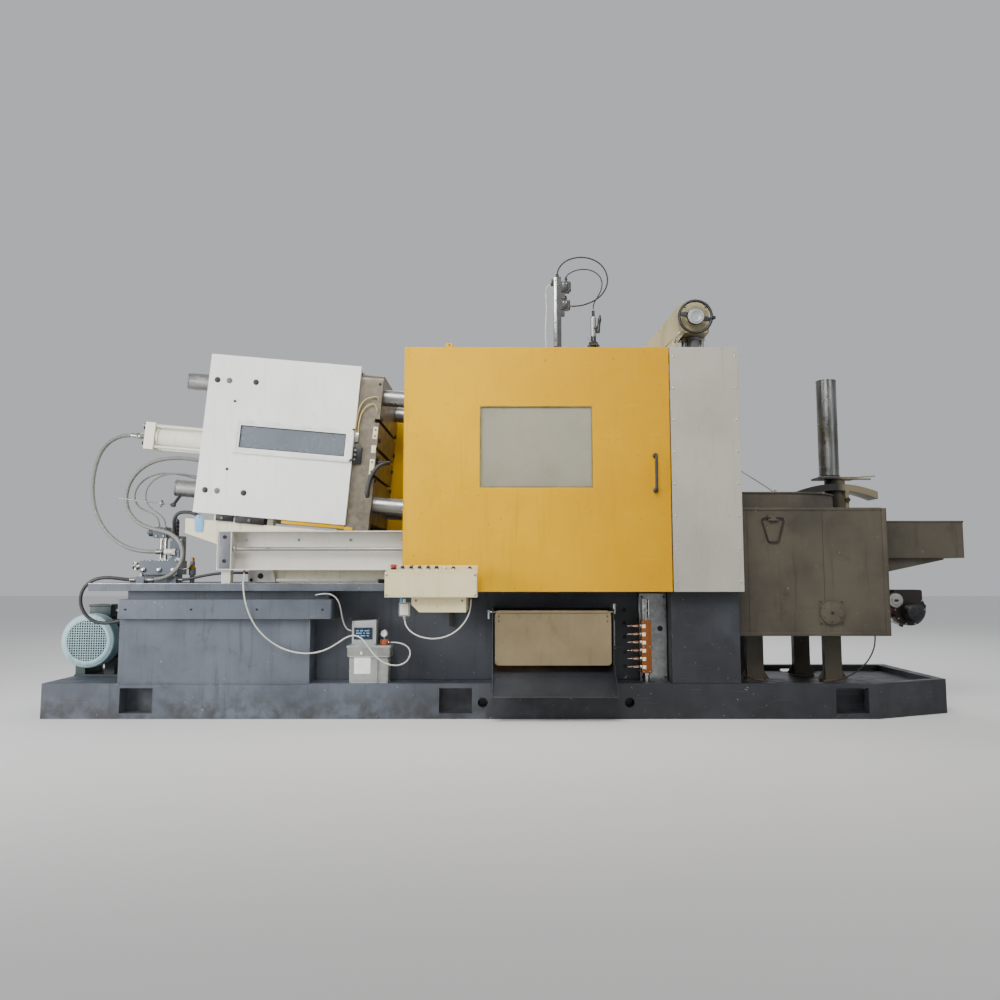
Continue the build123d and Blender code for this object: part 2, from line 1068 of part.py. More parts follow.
def clamp_frame():
    """Two cream side walls with a sloping top, joined by cross ribs."""
    last_u = fixed_platen_left + fixed_platen_thick
    right = clamp_x + last_u * math.cos(math.radians(clamp_tilt)) + frame_right_past
    low = -platen_half_w - platen_foot - way_height
    outline = [
        (frame_left, deck_top),
        (right, deck_top),
        (right, clamp_height(right, low)),
        (frame_nose, clamp_height(frame_nose, low)),
        (frame_nose, clamp_height(frame_nose, low) - frame_nose_depth),
        (frame_left, clamp_height(frame_left, low) - frame_nose_root),
    ]
    walls = []
    for y0 in (-frame_half_y, frame_half_y - frame_wall):
        walls.append(prism_y(outline, y0, y0 + frame_wall))
    shape = walls[0] + walls[1]
    for x in (frame_left, chute_left - frame_foot * 2, right - frame_rib):
        top = clamp_height(x + frame_rib, low) - frame_rib
        shape += block(
            x,
            x + frame_rib,
            -frame_half_y + frame_wall,
            frame_half_y - frame_wall,
            deck_top,
            top,
        )
    left_u = (frame_nose - clamp_x) / math.cos(math.radians(clamp_tilt)) + way_height * 2
    right_u = fixed_platen_left + fixed_platen_thick
    for y in (-frame_half_y, frame_half_y - way_width):
        way = block(left_u, right_u, y, y + way_width, low, low + way_height)
        shape += clamp(way)
    save("clamp_frame", shape)


def bars():
    """The four places of the tie bars in the clamp's own plane."""
    return [(y, w) for y in (-bar_half_y, bar_half_y) for w in (-bar_half_w, bar_half_w)]


def platen(u0, thick, hole, foot_width):
    """A platen with rounded corners, bar holes and two feet on the ways."""
    face = Pos(u0 + thick / 2, 0, 0) * Rot(0, 90, 0)
    shape = extrude(
        face * RectangleRounded(platen_half_w * 2, platen_half_y * 2, platen_radius),
        thick / 2,
        both=True,
    )
    for y, w in bars():
        shape -= round_x(u0 - overrun, u0 + thick + overrun, y, w, hole)
    foot = -platen_half_w - platen_foot
    for side in (-1, 1):
        y0, y1 = sorted((side * (frame_half_y - foot_width), side * frame_half_y))
        shape += block(u0, u0 + thick, y0, y1, foot, -platen_half_w + platen_radius * 2)
    return shape


def clamp_unit():
    fit = bar_diameter + running_fit * 2
    rear = platen(rear_platen_left, rear_platen_thick, fit, way_width)
    rear -= round_x(
        rear_platen_left - overrun,
        rear_platen_left + rear_platen_thick + overrun,
        0,
        0,
        ram_diameter + running_fit * 2,
    )
    save("rear_platen", clamp(rear))
    fixed = platen(fixed_platen_left, fixed_platen_thick, fit, way_width)
    fixed -= round_x(
        fixed_platen_left - overrun,
        fixed_platen_left + fixed_platen_thick + overrun,
        0,
        0,
        sprue_diameter,
    )
    fixed = cut_slots(fixed, fixed_platen_left, 1)
    save("fixed_platen", clamp(fixed))
    moving_left = moving_platen_right - moving_platen_thick
    moving = platen(moving_left, moving_platen_thick, fit, way_width - slide_gap)
    moving = cut_slots(moving, moving_platen_right, -1)
    sole = -platen_half_w - platen_foot
    moving -= block(
        moving_left - overrun,
        moving_platen_right + overrun,
        -frame_half_y - overrun,
        frame_half_y + overrun,
        sole - overrun,
        sole + loose_gap,
    )
    ram = round_x(
        ram_left,
        moving_left - ram_plate_thick,
        0,
        0,
        ram_diameter,
    )
    half = ram_plate / 2
    ram += block(moving_left - ram_plate_thick, moving_left, -half, half, -half, half)
    save("moving_platen", clamp(moving + ram))
    right = fixed_platen_left + fixed_platen_thick + nut_height + bar_end_past_nut
    rods = [clamp(round_x(bar_left, right, y, w, bar_diameter)) for y, w in bars()]
    save("tie_bars", *rods)
    nuts = []
    for y, w in bars():
        for u in (rear_platen_left - nut_height, fixed_platen_left + fixed_platen_thick):
            nut = round_x(u, u + nut_height, y, w, nut_diameter)
            nut -= round_x(u - overrun, u + nut_height + overrun, y, w, fit)
            nuts.append(clamp(nut))
    save("tie_bar_nuts", *nuts)


def cut_slots(shape, face_u, direction):
    """Level T slots across a platen's die face."""
    for w in (-slot_pitch, 0, slot_pitch):
        u0, u1 = sorted((face_u - direction * overrun, face_u + direction * slot_depth))
        shape -= block(
            u0,
            u1,
            -platen_half_y - overrun,
            platen_half_y + overrun,
            w - slot_width / 2,
            w + slot_width / 2,
        )
    return shape


def clamp_cylinder():
    """The closing cylinder on the machine's axis, with square ends and tie rods."""
    right = rear_platen_left
    half = cylinder_head / 2
    shape = round_x(
        cylinder_left + cylinder_head_thick,
        right - cylinder_head_thick,
        0,
        0,
        cylinder_diameter,
    )
    for u0 in (cylinder_left, right - cylinder_head_thick):
        shape += block(u0, u0 + cylinder_head_thick, -half, half, -half, half)
    reach = half - tie_rod_diameter
    for y in (-reach, reach):
        for w in (-reach, reach):
            shape += round_x(
                cylinder_left + cylinder_head_thick,
                right - cylinder_head_thick,
                y,
                w,
                tie_rod_diameter,
            )
    shape += round_x(cylinder_left - port_length, cylinder_left, 0, 0, port_diameter)
    shape -= round_x(ram_left - overrun, right + overrun, 0, 0, ram_diameter + running_fit * 2)
    save("clamp_cylinder", clamp(shape))


def toggle_cover():
    """A folded sheet cover over the front, top and back of the toggle space."""
    outer = block(cover_left, cover_right, -cover_half_y, cover_half_y, cover_bottom, cover_top)
    half = cover_half_y - cover_sheet
    inner = block(
        cover_left - overrun,
        cover_right + overrun,
        -half,
        half,
        cover_bottom - overrun,
        cover_top - cover_sheet,
    )
    hole = block(
        look_left + look_border,
        look_right - look_border,
        -half - cover_sheet - overrun,
        -half + overrun,
        -look_half + look_border,
        look_half - look_border,
    )
    shape = outer - inner - hole
    shape += block(
        rear_platen_left,
        rear_platen_left + rear_platen_thick / 2,
        -cover_lip * 4,
        cover_lip * 4,
        platen_half_w,
        cover_top - cover_sheet,
    )
    y0 = -cover_half_y
    border = block(look_left, look_right, y0 - look_proud, y0, -look_half, look_half)
    border -= block(
        look_left + look_border,
        look_right - look_border,
        y0 - look_proud - overrun,
        y0 + overrun,
        -look_half + look_border,
        look_half - look_border,
    )
    grip_u = look_right + look_border
    grip = block(grip_u - look_border, grip_u, y0 - look_proud * 2.4, y0, -look_half, look_half)
    border += grip
    save("toggle_cover", clamp(shape + border))
    glass = block(
        look_left + look_border,
        look_right - look_border,
        y0,
        y0 + look_glass,
        -look_half + look_border,
        look_half - look_border,
    )
    save("cover_window", clamp(glass))


def pump_motor():
    z = plinth_height + motor_foot_plate + motor_centre_height
    y0 = -fan_front
    y1 = y0 + fan_length
    y2 = y1 + motor_length
    y3 = y2 + motor_bell_length
    cover = round_y(motor_x, y0, y1, z, fan_diameter)
    cover = fillet(cover.edges().group_by(Axis.Y)[0], motor_fin * 2)
    save("fan_cover", cover)
    body = round_y(motor_x, y1, y2, z, motor_diameter)
    for n in range(motor_fin_count):
        fin = Pos(motor_x, (y1 + y2) / 2, z) * Rot(0, 360 / motor_fin_count * n, 0)
        fin *= Pos(motor_diameter / 2, 0, 0) * Box(motor_fin_depth * 2, motor_length, motor_fin)
        body += fin
    body += round_y(motor_x, y2, y3, z, motor_bell)
    half = motor_foot_width / 2
    foot_top = z - motor_diameter / 2 + motor_fin_depth * 2
    foot = block(
        motor_x - half,
        motor_x + half,
        y1 + motor_fin * 2,
        y2 - motor_fin * 2,
        plinth_height + motor_foot_plate,
        foot_top,
    )
    foot -= block(
        motor_x - half / 2,
        motor_x + half / 2,
        y1,
        y2,
        plinth_height + motor_foot_plate - overrun,
        foot_top - motor_fin_depth * 3,
    )
    plate_left_edge = motor_x - half
    plate = block(plate_left_edge, tank_left, y1, y3, plinth_height, plinth_height + motor_foot_plate)
    pump = round_y(motor_x, y3, y3 + pump_length, z, pump_diameter)
    pump += block(
        motor_x - pump_diameter / 3,
        motor_x + pump_diameter / 3,
        y3 + pump_length * 0.4,
        y3 + pump_length * 0.8,
        z - pump_diameter * 0.6,
        z + pump_diameter * 0.6,
    )
    save("pump_motor", body + foot + plate + pump)


def injection_unit():
    """The head over the pot, its sloping arm to the fixed platen, and the shot cylinder."""
    tilt = math.radians(clamp_tilt)
    platen_right = clamp_x + (fixed_platen_left + fixed_platen_thick) * math.cos(tilt)
    arm_top = clamp_height(platen_right, platen_half_w - platen_radius)
    seat = clamp_height(platen_right, bar_half_w - nut_diameter)
    head_top = head_bottom + head_height
    outline = [
        (platen_right + platen_edge(seat), seat),
        (platen_right + platen_edge(arm_top), arm_top),
        (head_left, head_top),
        (head_left + head_width, head_top),
        (head_left + head_width, head_bottom),
        (head_left + head_width * 0.1, head_bottom),
    ]
    arm = prism_y(outline, -head_half_y, head_half_y)
    hollow = [
        (platen_right + platen_edge(seat) + arm_thick, seat + arm_thick * 1.9),
        (platen_right + platen_edge(arm_top) + arm_thick, arm_top + arm_thick * 0.4),
        (head_left - arm_thick * 0.2, head_bottom - arm_thick * 0.1),
    ]
    arm -= prism_y(hollow, -head_half_y - overrun, head_half_y + overrun)
    y_face = -head_half_y
    boss = round_y(wheel_x, y_face - wheel_gap * 0.6, y_face, wheel_z, spindle_diameter * 2)
    arm += boss
    arm -= round_y(
        wheel_x,
        y_face - wheel_gap,
        y_face + spindle_diameter * 2,
        wheel_z,
        spindle_diameter + running_fit * 2,
    )
    save("injection_arm", arm)
    low = head_bottom - shot_cylinder_length
    cylinder = round_z(column_x, 0, low, head_bottom, shot_cylinder)
    cylinder += round_z(column_x, 0, low, low + crosshead_height, shot_cylinder + loose_gap * 4)
    cylinder += round_z(column_x, 0, crosshead_z + crosshead_height, low, plunger_diameter)
    save("shot_cylinder", cylinder)
    cross = block(
        column_x - column_half - column_rod,
        column_x + column_half + column_rod,
        -column_rod * 2,
        column_rod * 2,
        crosshead_z,
        crosshead_z + crosshead_height,
    )
    rods = [
        round_z(column_x - column_half, 0, crosshead_z + crosshead_height, head_bottom, column_rod),
        round_z(column_x + column_half, 0, crosshead_z + crosshead_height, head_bottom, column_rod),
    ]
    plunger = round_z(column_x, 0, ring_top - pot_depth * 0.5, crosshead_z, plunger_diameter)
    save("shot_columns", cross + rods[0] + rods[1] + plunger)
    neck = block(
        column_x - plunger_diameter * 1.6,
        column_x + plunger_diameter * 1.6,
        -plunger_diameter * 1.6,
        plunger_diameter * 1.6,
        pot_floor + ring_wall / 3,
        ring_top - pot_depth * 0.3,
    )
    neck -= round_z(column_x, 0, ring_top - pot_depth * 0.6, ring_top, plunger_diameter + running_fit * 2)
    neck = fillet(neck.edges().filter_by(Axis.Z), plunger_diameter / 2)
    save("gooseneck", neck)


def platen_edge(z):
    """How far the fixed platen's right face leans at a height, from its middle."""
    tilt = math.radians(clamp_tilt)
    middle = clamp_z - (fixed_platen_left + fixed_platen_thick) * math.sin(tilt)
    return (z - middle) * math.tan(tilt)


def handwheel():
    y_face = -head_half_y
    y1 = y_face - wheel_gap
    y0 = y1 - wheel_hub_thick
    rim_y = (y0 + y1) / 2
    rim = Pos(wheel_x, rim_y, wheel_z) * Rot(90, 0, 0) * Torus(
        wheel_diameter / 2 - wheel_rim / 2,
        wheel_rim / 2,
    )
    hub = round_y(wheel_x, y0, y1, wheel_z, wheel_hub)
    reach = wheel_diameter / 2 - wheel_rim / 2
    spoke = Pos(wheel_x, rim_y, wheel_z) * Rot(0, 6, 0) * Box(reach * 2, wheel_spoke_thick, wheel_spoke)
    knob = round_y(wheel_x + reach, y0 - wheel_knob, rim_y, wheel_z, wheel_knob)
    shaft = round_y(wheel_x, y1, y_face + spindle_diameter, wheel_z, spindle_diameter)
    save("handwheel", rim + hub + spoke + knob + shaft)


def spray_unit():
    """A mast with valve blocks over the die space, and the nozzle post beside it."""
    foot_z = clamp_height(mast_x + mast_width * 0.4, platen_half_w)
    base = foot_z + mast_lift
    foot = prism_y(
        [
            (mast_x + mast_width * 0.9, clamp_height(mast_x + mast_width * 0.9, platen_half_w)),
            (mast_x + fixed_platen_thick, clamp_height(mast_x + fixed_platen_thick, platen_half_w)),
            (mast_x + fixed_platen_thick, base),
            (mast_x - mast_width / 2, base),
            (mast_x - mast_width / 2, base - mast_width / 2),
            (mast_x + mast_width * 0.9, base - mast_width / 2),
        ],
        -mast_width * 1.6,
        mast_width * 1.6,
    )
    mast = block(
        mast_x - mast_width / 2,
        mast_x + mast_width / 2,
        -mast_depth / 2,
        mast_depth / 2,
        base,
        mast_top,
    )
    mast -= block(
        mast_x + mast_width / 2 - mast_width * 0.35,
        mast_x + mast_width / 2 + overrun,
        -mast_depth / 6,
        mast_depth / 6,
        base + mast_width * 2,
        mast_top - mast_width,
    )
    whole = foot + mast + spray_post(base)
    x0 = mast_x + mast_width / 2
    for z, size in ((mast_top - mast_valve, mast_valve), (mast_top - mast_valve * 3.2, mast_valve * 0.9)):
        one = block(x0, x0 + size, -size / 2, size / 2, z - size * 0.8, z + size * 0.4)
        one += block(x0, x0 + size * 0.45, -size / 3, size / 3, z - size * 1.6, z - size * 0.8)
        one += round_z(x0 + size * 0.6, 0, z + size * 0.4, z + size * 0.75, size / 4)
        whole += one
    save("spray_mast", whole)


def spray_post(seat):
    """The upright nozzle holder, from the mast's foot bracket to its cable gland."""
    x0 = mast_x + fixed_platen_thick
    shelf = block(x0, nozzle_x + nozzle_body / 2, -nozzle_body, nozzle_body, seat - mast_width / 2, seat)
    post = round_z(nozzle_x, 0, seat, nozzle_top - nozzle_body, nozzle_body * 0.8)
    post += round_z(nozzle_x, 0, nozzle_top - nozzle_body, nozzle_top, nozzle_body * 0.45)
    return shelf + post


def furnace():
    box = block(furnace_left, furnace_right, -furnace_half_y, furnace_half_y, furnace_bottom, furnace_top)
    box = fillet(box.edges().filter_by(Axis.Z), lid_radius / 2)
    middle = (ring_left + ring_right) / 2
    length = ring_right - ring_left
    plan = Pos(middle, 0, furnace_top)
    hole = plan * SlotOverall(length - ring_wall * 2, ring_half_y * 2 - ring_wall * 2)
    box -= extrude(hole, ring_height - pot_depth - ring_wall / 2)
    box -= extrude(hole, overrun)
    ring = extrude(plan * SlotOverall(length, ring_half_y * 2), ring_height)
    ring -= extrude(hole, ring_height + overrun)
    whole = box + ring
    wall = ring_wall / 3
    gap = loose_gap
    outer = plan * SlotOverall(length - ring_wall * 2 - gap * 2, ring_half_y * 2 - ring_wall * 2 - gap * 2)
    inner = plan * SlotOverall(
        length - ring_wall * 2 - wall * 2,
        ring_half_y * 2 - ring_wall * 2 - wall * 2,
    )
    depth = pot_depth - ring_height + ring_wall / 2
    pot = Pos(0, 0, -depth) * extrude(outer, depth + ring_height)
    pot -= Pos(0, 0, -depth + wall) * extrude(inner, depth + ring_height + overrun)
    save("melting_pot", pot)
    legs = []
    pan_floor = plinth_height - pan_depth
    places = (
        (leg_front_x, -leg_y),
        (leg_back_x, leg_y),
        (leg_left_x, -leg_y),
        (leg_left_x, leg_y),
    )
    for x, y in places:
        leg = block(
            x - leg_width / 2,
            x + leg_width / 2,
            y - leg_depth / 2,
            y + leg_depth / 2,
            pan_floor,
            furnace_bottom,
        )
        leg += block(
            x - leg_width / 2 - leg_foot / 2,
            x + leg_width / 2 + leg_foot / 2,
            y - leg_depth / 2 - leg_foot / 2,
            y + leg_depth / 2 + leg_foot / 2,
            pan_floor,
            pan_floor + leg_foot / 2,
        )
        legs.append(leg)
    save("furnace_legs", *legs)
    save("furnace_body", furnace_front(whole))
    stub_x = chimney_x + stub_shift
    stub = round_z(stub_x, chimney_y, furnace_top, chimney_bottom - damper_thick, stub_diameter)
    pipe = round_z(chimney_x, chimney_y, chimney_bottom, chimney_top, chimney_diameter)
    pipe -= round_z(
        chimney_x,
        chimney_y,
        chimney_bottom + chimney_wall,
        chimney_top + overrun,
        chimney_diameter - chimney_wall * 2,
    )
    save("chimney", pipe)
    damper = stub + block(
        stub_x - damper_width / 2,
        stub_x + damper_width / 2,
        chimney_y - damper_depth / 2,
        chimney_y + damper_depth / 2,
        chimney_bottom - damper_thick,
        chimney_bottom,
    )
    damper += round_x(
        stub_x + damper_width / 2,
        stub_x + damper_width / 2 + damper_handle,
        chimney_y,
        chimney_bottom - damper_thick / 2,
        damper_thick,
    )
    save("damper", damper)


def flue_arch():
    """An arched shield round the flue's stub, on a link to the furnace top."""
    chord = arch_right - arch_left
    radius = (chord**2 / 4 + arch_rise**2) / (2 * arch_rise)
    middle = (arch_left + arch_right) / 2
    centre = ring_top + arch_rise - radius
    y0 = chimney_y - arch_depth / 2
    y1 = chimney_y + arch_depth / 2
    outer = round_y(middle, y0, y1, centre, (radius + arch_thick) * 2)
    inner = round_y(middle, y0 - overrun, y1 + overrun, centre, radius * 2)
    window = block(arch_left, arch_right, y0, y1, ring_top + loose_gap, ring_top + arch_rise + arch_thick)
    arch = (outer - inner) & window
    stub_x = chimney_x + stub_shift
    arch -= round_z(stub_x, chimney_y, furnace_top, chimney_bottom, stub_diameter + loose_gap * 2)
    link_x = furnace_right - arch_link
    link = block(
        link_x - arch_link / 2,
        link_x + arch_link / 2,
        y0,
        y0 + arch_link,
        furnace_top,
        ring_top + arch_rise,
    )
    save("flue_arch", arch + link)


def hopper():
    """The ingot tray at the furnace's right end, open on top, with its gusset."""
    x0 = furnace_right
    x1 = x0 + hopper_length
    z1 = hopper_bottom + hopper_height
    plan = [
        (x0, -hopper_half_y * 0.9),
        (x0 + hopper_neck, -hopper_half_y),
        (x1, -hopper_half_y),
        (x1, hopper_half_y),
        (x0 + hopper_neck, hopper_half_y),
        (x0, hopper_half_y * 0.9),
    ]
    shape = prism_z(plan, hopper_bottom, z1)
    sheet = hopper_sheet
    inside = [
        (x0 + sheet, -hopper_half_y * 0.9 + sheet),
        (x0 + hopper_neck, -hopper_half_y + sheet),
        (x1 - sheet, -hopper_half_y + sheet),
        (x1 - sheet, hopper_half_y - sheet),
        (x0 + hopper_neck, hopper_half_y - sheet),
        (x0 + sheet, hopper_half_y * 0.9 - sheet),
    ]
    shape -= prism_z(inside, hopper_bottom + sheet, z1 + overrun)
    gussets = []
    for y in (-hopper_half_y * 0.85, hopper_half_y * 0.85 - sheet):
        outline = [
            (x0, hopper_bottom - hopper_gusset_drop),
            (x0 + hopper_gusset_run, hopper_bottom - hopper_gusset_drop * 0.1),
            (x0 + hopper_gusset_run, hopper_bottom),
            (x0, hopper_bottom),
        ]
        gussets.append(prism_y(outline, y, y + sheet))
    brace = [
        (x0, hopper_bottom - hopper_gusset_drop),
        (x0 + hopper_gusset_run, hopper_bottom - hopper_gusset_drop * 0.1),
        (x0 + hopper_gusset_run, hopper_bottom - hopper_gusset_drop * 0.1 + sheet),
        (x0, hopper_bottom - hopper_gusset_drop + sheet),
    ]
    web = prism_y(brace, -hopper_half_y * 0.85, hopper_half_y * 0.85)
    save("ingot_tray", shape + gussets[0] + gussets[1] + web)


def burner():
    x0 = furnace_right
    y = -burner_y
    x2 = x0 + burner_length
    casing_x = x2 - burner_casing / 2
    tube = round_x(x0, casing_x, y, burner_z, burner_tube)
    flange = round_x(x0, x0 + cover_round_thick, y, burner_z, burner_tube * 1.5)
    casing = round_y(
        casing_x,
        y - burner_casing_thick / 2,
        y + burner_casing_thick / 2,
        burner_z,
        burner_casing,
    )
    top = block(
        casing_x - burner_casing / 2,
        casing_x + burner_casing * 0.4,
        y - burner_casing_thick / 2,
        y + burner_casing_thick / 2,
        burner_z + burner_casing * 0.1,
        burner_z + burner_casing * 0.62,
    )
    top = fillet(top.edges().filter_by(Axis.Y), burner_casing_thick / 8)
    motor = round_y(
        casing_x,
        y - burner_casing_thick / 2 - burner_motor_length,
        y - burner_casing_thick / 2,
        burner_z - burner_casing * 0.08,
        burner_motor,
    )
    motor = fillet(motor.edges().group_by(Axis.Y)[0], burner_casing_thick / 12)
    save("burner", tube + flange + casing + top + motor)


def bail_place():
    """The bail's hinge line on the furnace front: its Y and Z."""
    return -furnace_half_y - bail_stand, furnace_top - bail_drop


def furnace_front(shape):
    """Adds the round access cover and the bail's clip to the furnace's front."""
    y = -furnace_half_y
    shape += block(
        cover_plate_x - cover_plate / 2,
        cover_plate_x + cover_plate / 2,
        y - cover_plate_thick,
        y,
        cover_plate_z - cover_plate / 2,
        cover_plate_z + cover_plate / 2,
    )
    shape += round_y(
        cover_plate_x,
        y - cover_plate_thick - cover_round_thick,
        y - cover_plate_thick,
        cover_plate_z,
        cover_round,
    )
    bail_y, bail_z = bail_place()
    clip = block(
        bail_x - bail_clip / 2,
        bail_x + bail_clip / 2,
        y - bail_stand * 2,
        y,
        bail_z - bail_clip_height / 2,
        bail_z + bail_clip_height / 2,
    )
    clip -= round_x(
        bail_x - bail_clip,
        bail_x + bail_clip,
        bail_y,
        bail_z,
        bail_bar + running_fit * 2,
    )
    return shape + clip


def furnace_bail():
    """A bent bar that hangs in its clip."""
    bail_y, bail_z = bail_place()
    low = bail_z - bail_height
    corners = [
        (bail_x + bail_bottom_width / 2, bail_y, low),
        (bail_x + bail_top_width / 2, bail_y, bail_z),
        (bail_x - bail_top_width / 2, bail_y, bail_z),
        (bail_x - bail_bottom_width / 2, bail_y, low),
    ]
    path = FilletPolyline(corners, radius=bail_bar * 1.5, close=True)
    start = Plane(origin=path @ 0, z_dir=path % 0)
    save("furnace_bail", sweep(start * Circle(bail_bar / 2), path))


def valve_block():
    """The manifold on the drip tray with its pilot valve, riser, elbow and small fittings."""
    left = tray_left + valve_left
    right = left + valve_block_length
    low = deck_top + valve_foot
    top = low + valve_height
    shape = block(
        left + valve_foot_in,
        right - valve_foot_in,
        valve_front + valve_foot_in * 2,
        valve_back - valve_foot_in * 2,
        deck_top,
        low,
    )
    shape += block(left, right, valve_front, valve_back, low, top)
    riser_right = right - riser_from_right
    riser_front = valve_back - riser_depth
    shape += block(riser_right - riser_width, riser_right, riser_front, valve_back, top, top + riser_height)
    coil_x = riser_right - riser_width + coil_diameter / 2
    coil_y = (riser_front + valve_back) / 2
    coil_top = top + riser_height + coil_height
    shape += round_z(coil_x, coil_y, top + riser_height, coil_top, coil_diameter)
    pilot_x = left + pilot_left
    pilot_low = top + pilot_tube_height
    for x in (pilot_x + pilot_width * 0.5, pilot_x + pilot_width * 0.84):
        shape += round_z(x, pilot_y, top, pilot_low, pilot_tube)
    shape += block(
        pilot_x,
        pilot_x + pilot_width,
        pilot_y - pilot_depth / 2,
        pilot_y + pilot_depth / 2,
        pilot_low,
        pilot_low + pilot_height,
    )
    knob_z = pilot_low + pilot_height / 2
    shape += round_x(pilot_x - pilot_knob_reach, pilot_x, pilot_y, knob_z, pilot_knob)
    x = tray_left + nipple_x
    z = top + nipple_rise
    shape += round_x(x, x + nipple_length, nipple_y, z, nipple_diameter)
    shape += round_x(x + nipple_length, x + nipple_length + elbow_reach, nipple_y, z, elbow_diameter)
    shape += round_z(x + nipple_length + elbow_reach, nipple_y, top, z + elbow_diameter / 2, elbow_diameter)
    side_z = low + side_port_rise
    shape += round_x(left - side_port_reach, left, (valve_front + nipple_y) / 2, side_z, side_port_diameter)
    x = tray_left + return_block_x
    y = return_block_y
    half = return_block / 2
    back_block = block(x, x + return_block, y - half, y + half, deck_top, deck_top + return_block_height)
    x = tray_left + bed_block_x
    y = bed_block_y
    half = bed_block_width / 2
    bed_block = block(
        x,
        x + bed_block_width,
        y - half * 0.8,
        y + half * 0.8,
        deck_top,
        deck_top + return_block_height,
    )
    relief = round_z(tray_left + relief_x, nipple_y, deck_top, deck_top + relief_height, relief_diameter)
    relief += round_z(
        tray_left + relief_x,
        nipple_y,
        deck_top + relief_height * 0.35,
        deck_top + relief_height * 0.6,
        relief_diameter * 1.5,
    )
    save("valve_block", shape, back_block, bed_block, relief)


def tube(name, diameter, route):
    """A plain hose or cable along straight runs joined by arcs, each as large as its runs allow."""
    points = [Vector(*point) for point in route]
    radii = []
    for before, corner, after in zip(points, points[1:], points[2:]):
        first = corner - before
        second = after - corner
        half_turn = math.radians(first.get_angle(second)) / 2
        radii.append(arc_share * min(first.length, second.length) / math.tan(half_turn))
    path = FilletPolyline(*points, radius=radii)
    start = Plane(origin=path @ 0, z_dir=path % 0)
    shape = sweep(start * Circle(diameter / 2), path)
    save(name, shape)
    share = shape.volume / (math.pi * diameter**2 / 4 * path.length)
    tightest = min(radii) / diameter
    print(f"  length {path.length:.0f}, volume share {share:.3f}, tightest bend {tightest:.1f} diameters")


def clamp_point(u, y, w):
    """A point given along the clamp's own axes, in the machine's frame."""
    tilt = math.radians(clamp_tilt)
    return (
        clamp_x + u * math.cos(tilt) + w * math.sin(tilt),
        y,
        clamp_z - u * math.sin(tilt) + w * math.cos(tilt),
    )


def clamp_hoses():
    """The hoses from the closing cylinder and the rear platen to the valves on the tray."""
    top = deck_top + valve_foot + valve_height
    pilot_top = top + pilot_tube_height + pilot_height
    tube(
        "cylinder_hose",
        hose_diameter,
        [
            clamp_point(cylinder_left - port_length, 0, 0),
            clamp_point(cylinder_left - port_length * 2, 0, 0),
            (-2654, -10, 1817),
            (-2713, -30, 1776),
            (-2751, -57, 1710),
            (-2768, -88, 1624),
            (-2770, -120, 1527),
            (-2758, -152, 1428),
            (-2731, -182, 1331),
            (-2687, -209, 1240),
            (-2626, -233, 1159),
            (-2550, -254, 1093),
            (-2465, -273, 1047),
            (-2377, -288, 1024),
            (-2290, -300, 1018),
            (tray_left + nipple_x, nipple_y, top + nipple_rise),
        ],
    )
    tube(
        "return_hose",
        hose_diameter,
        [
            clamp_point(rear_platen_left, -250, -160),
            clamp_point(rear_platen_left - port_length, -250, -160),
            (-1970, -253, 1617),
            (-2070, -256, 1633),
            (-2171, -260, 1640),
            (-2269, -264, 1629),
            (-2358, -269, 1593),
            (-2428, -275, 1531),
            (-2469, -282, 1450),
            (-2477, -291, 1364),
            (-2453, -303, 1284),
            (-2400, -318, 1222),
            (-2332, -334, 1184),
            (-2265, -350, 1163),
            (-2199, -367, 1151),
            (-2139, -385, 1132),
            (-2089, -402, 1098),
            (-2055, -417, 1050),
            (-2042, -432, 993),
            (-2051, -447, 936),
            (-2081, -465, 886),
            (-2128, -486, 851),
            (-2190, -500, 838),
            (tray_left + return_block_x + return_block, return_block_y, deck_top + return_block_height / 2),
        ],
    )
    tube(
        "pilot_hose_left",
        pilot_hose_diameter,
        [
            clamp_point(rear_platen_left, -200, -281),
            clamp_point(rear_platen_left - port_length, -200, -281),
            (-1990, -202, 1494),
            (-2075, -204, 1514),
            (-2158, -206, 1535),
            (-2240, -208, 1545),
            (-2318, -211, 1535),
            (-2383, -214, 1504),
            (-2429, -217, 1456),
            (-2448, -221, 1399),
            (-2438, -225, 1348),
            (-2405, -229, 1309),
            (-2359, -234, 1288),
            (-2313, -238, 1269),
            (-2280, -240, 1240),
            (-2269, -240, 1207),
            (-2269, pilot_y, pilot_top),
        ],
    )
    tube(
        "pilot_hose_right",
        pilot_hose_diameter,
        [
            clamp_point(rear_platen_left, -225, -258),
            clamp_point(rear_platen_left - port_length, -225, -258),
            (-1990, -227, 1512),
            (-2070, -229, 1526),
            (-2148, -231, 1538),
            (-2222, -233, 1536),
            (-2288, -235, 1516),
            (-2338, -236, 1477),
            (-2366, -237, 1426),
            (-2369, -238, 1373),
            (-2349, -239, 1326),
            (-2309, -240, 1292),
            (-2264, -240, 1263),
            (-2235, -240, 1228),
            (-2228, -240, 1197),
            (-2228, pilot_y, pilot_top),
        ],
    )


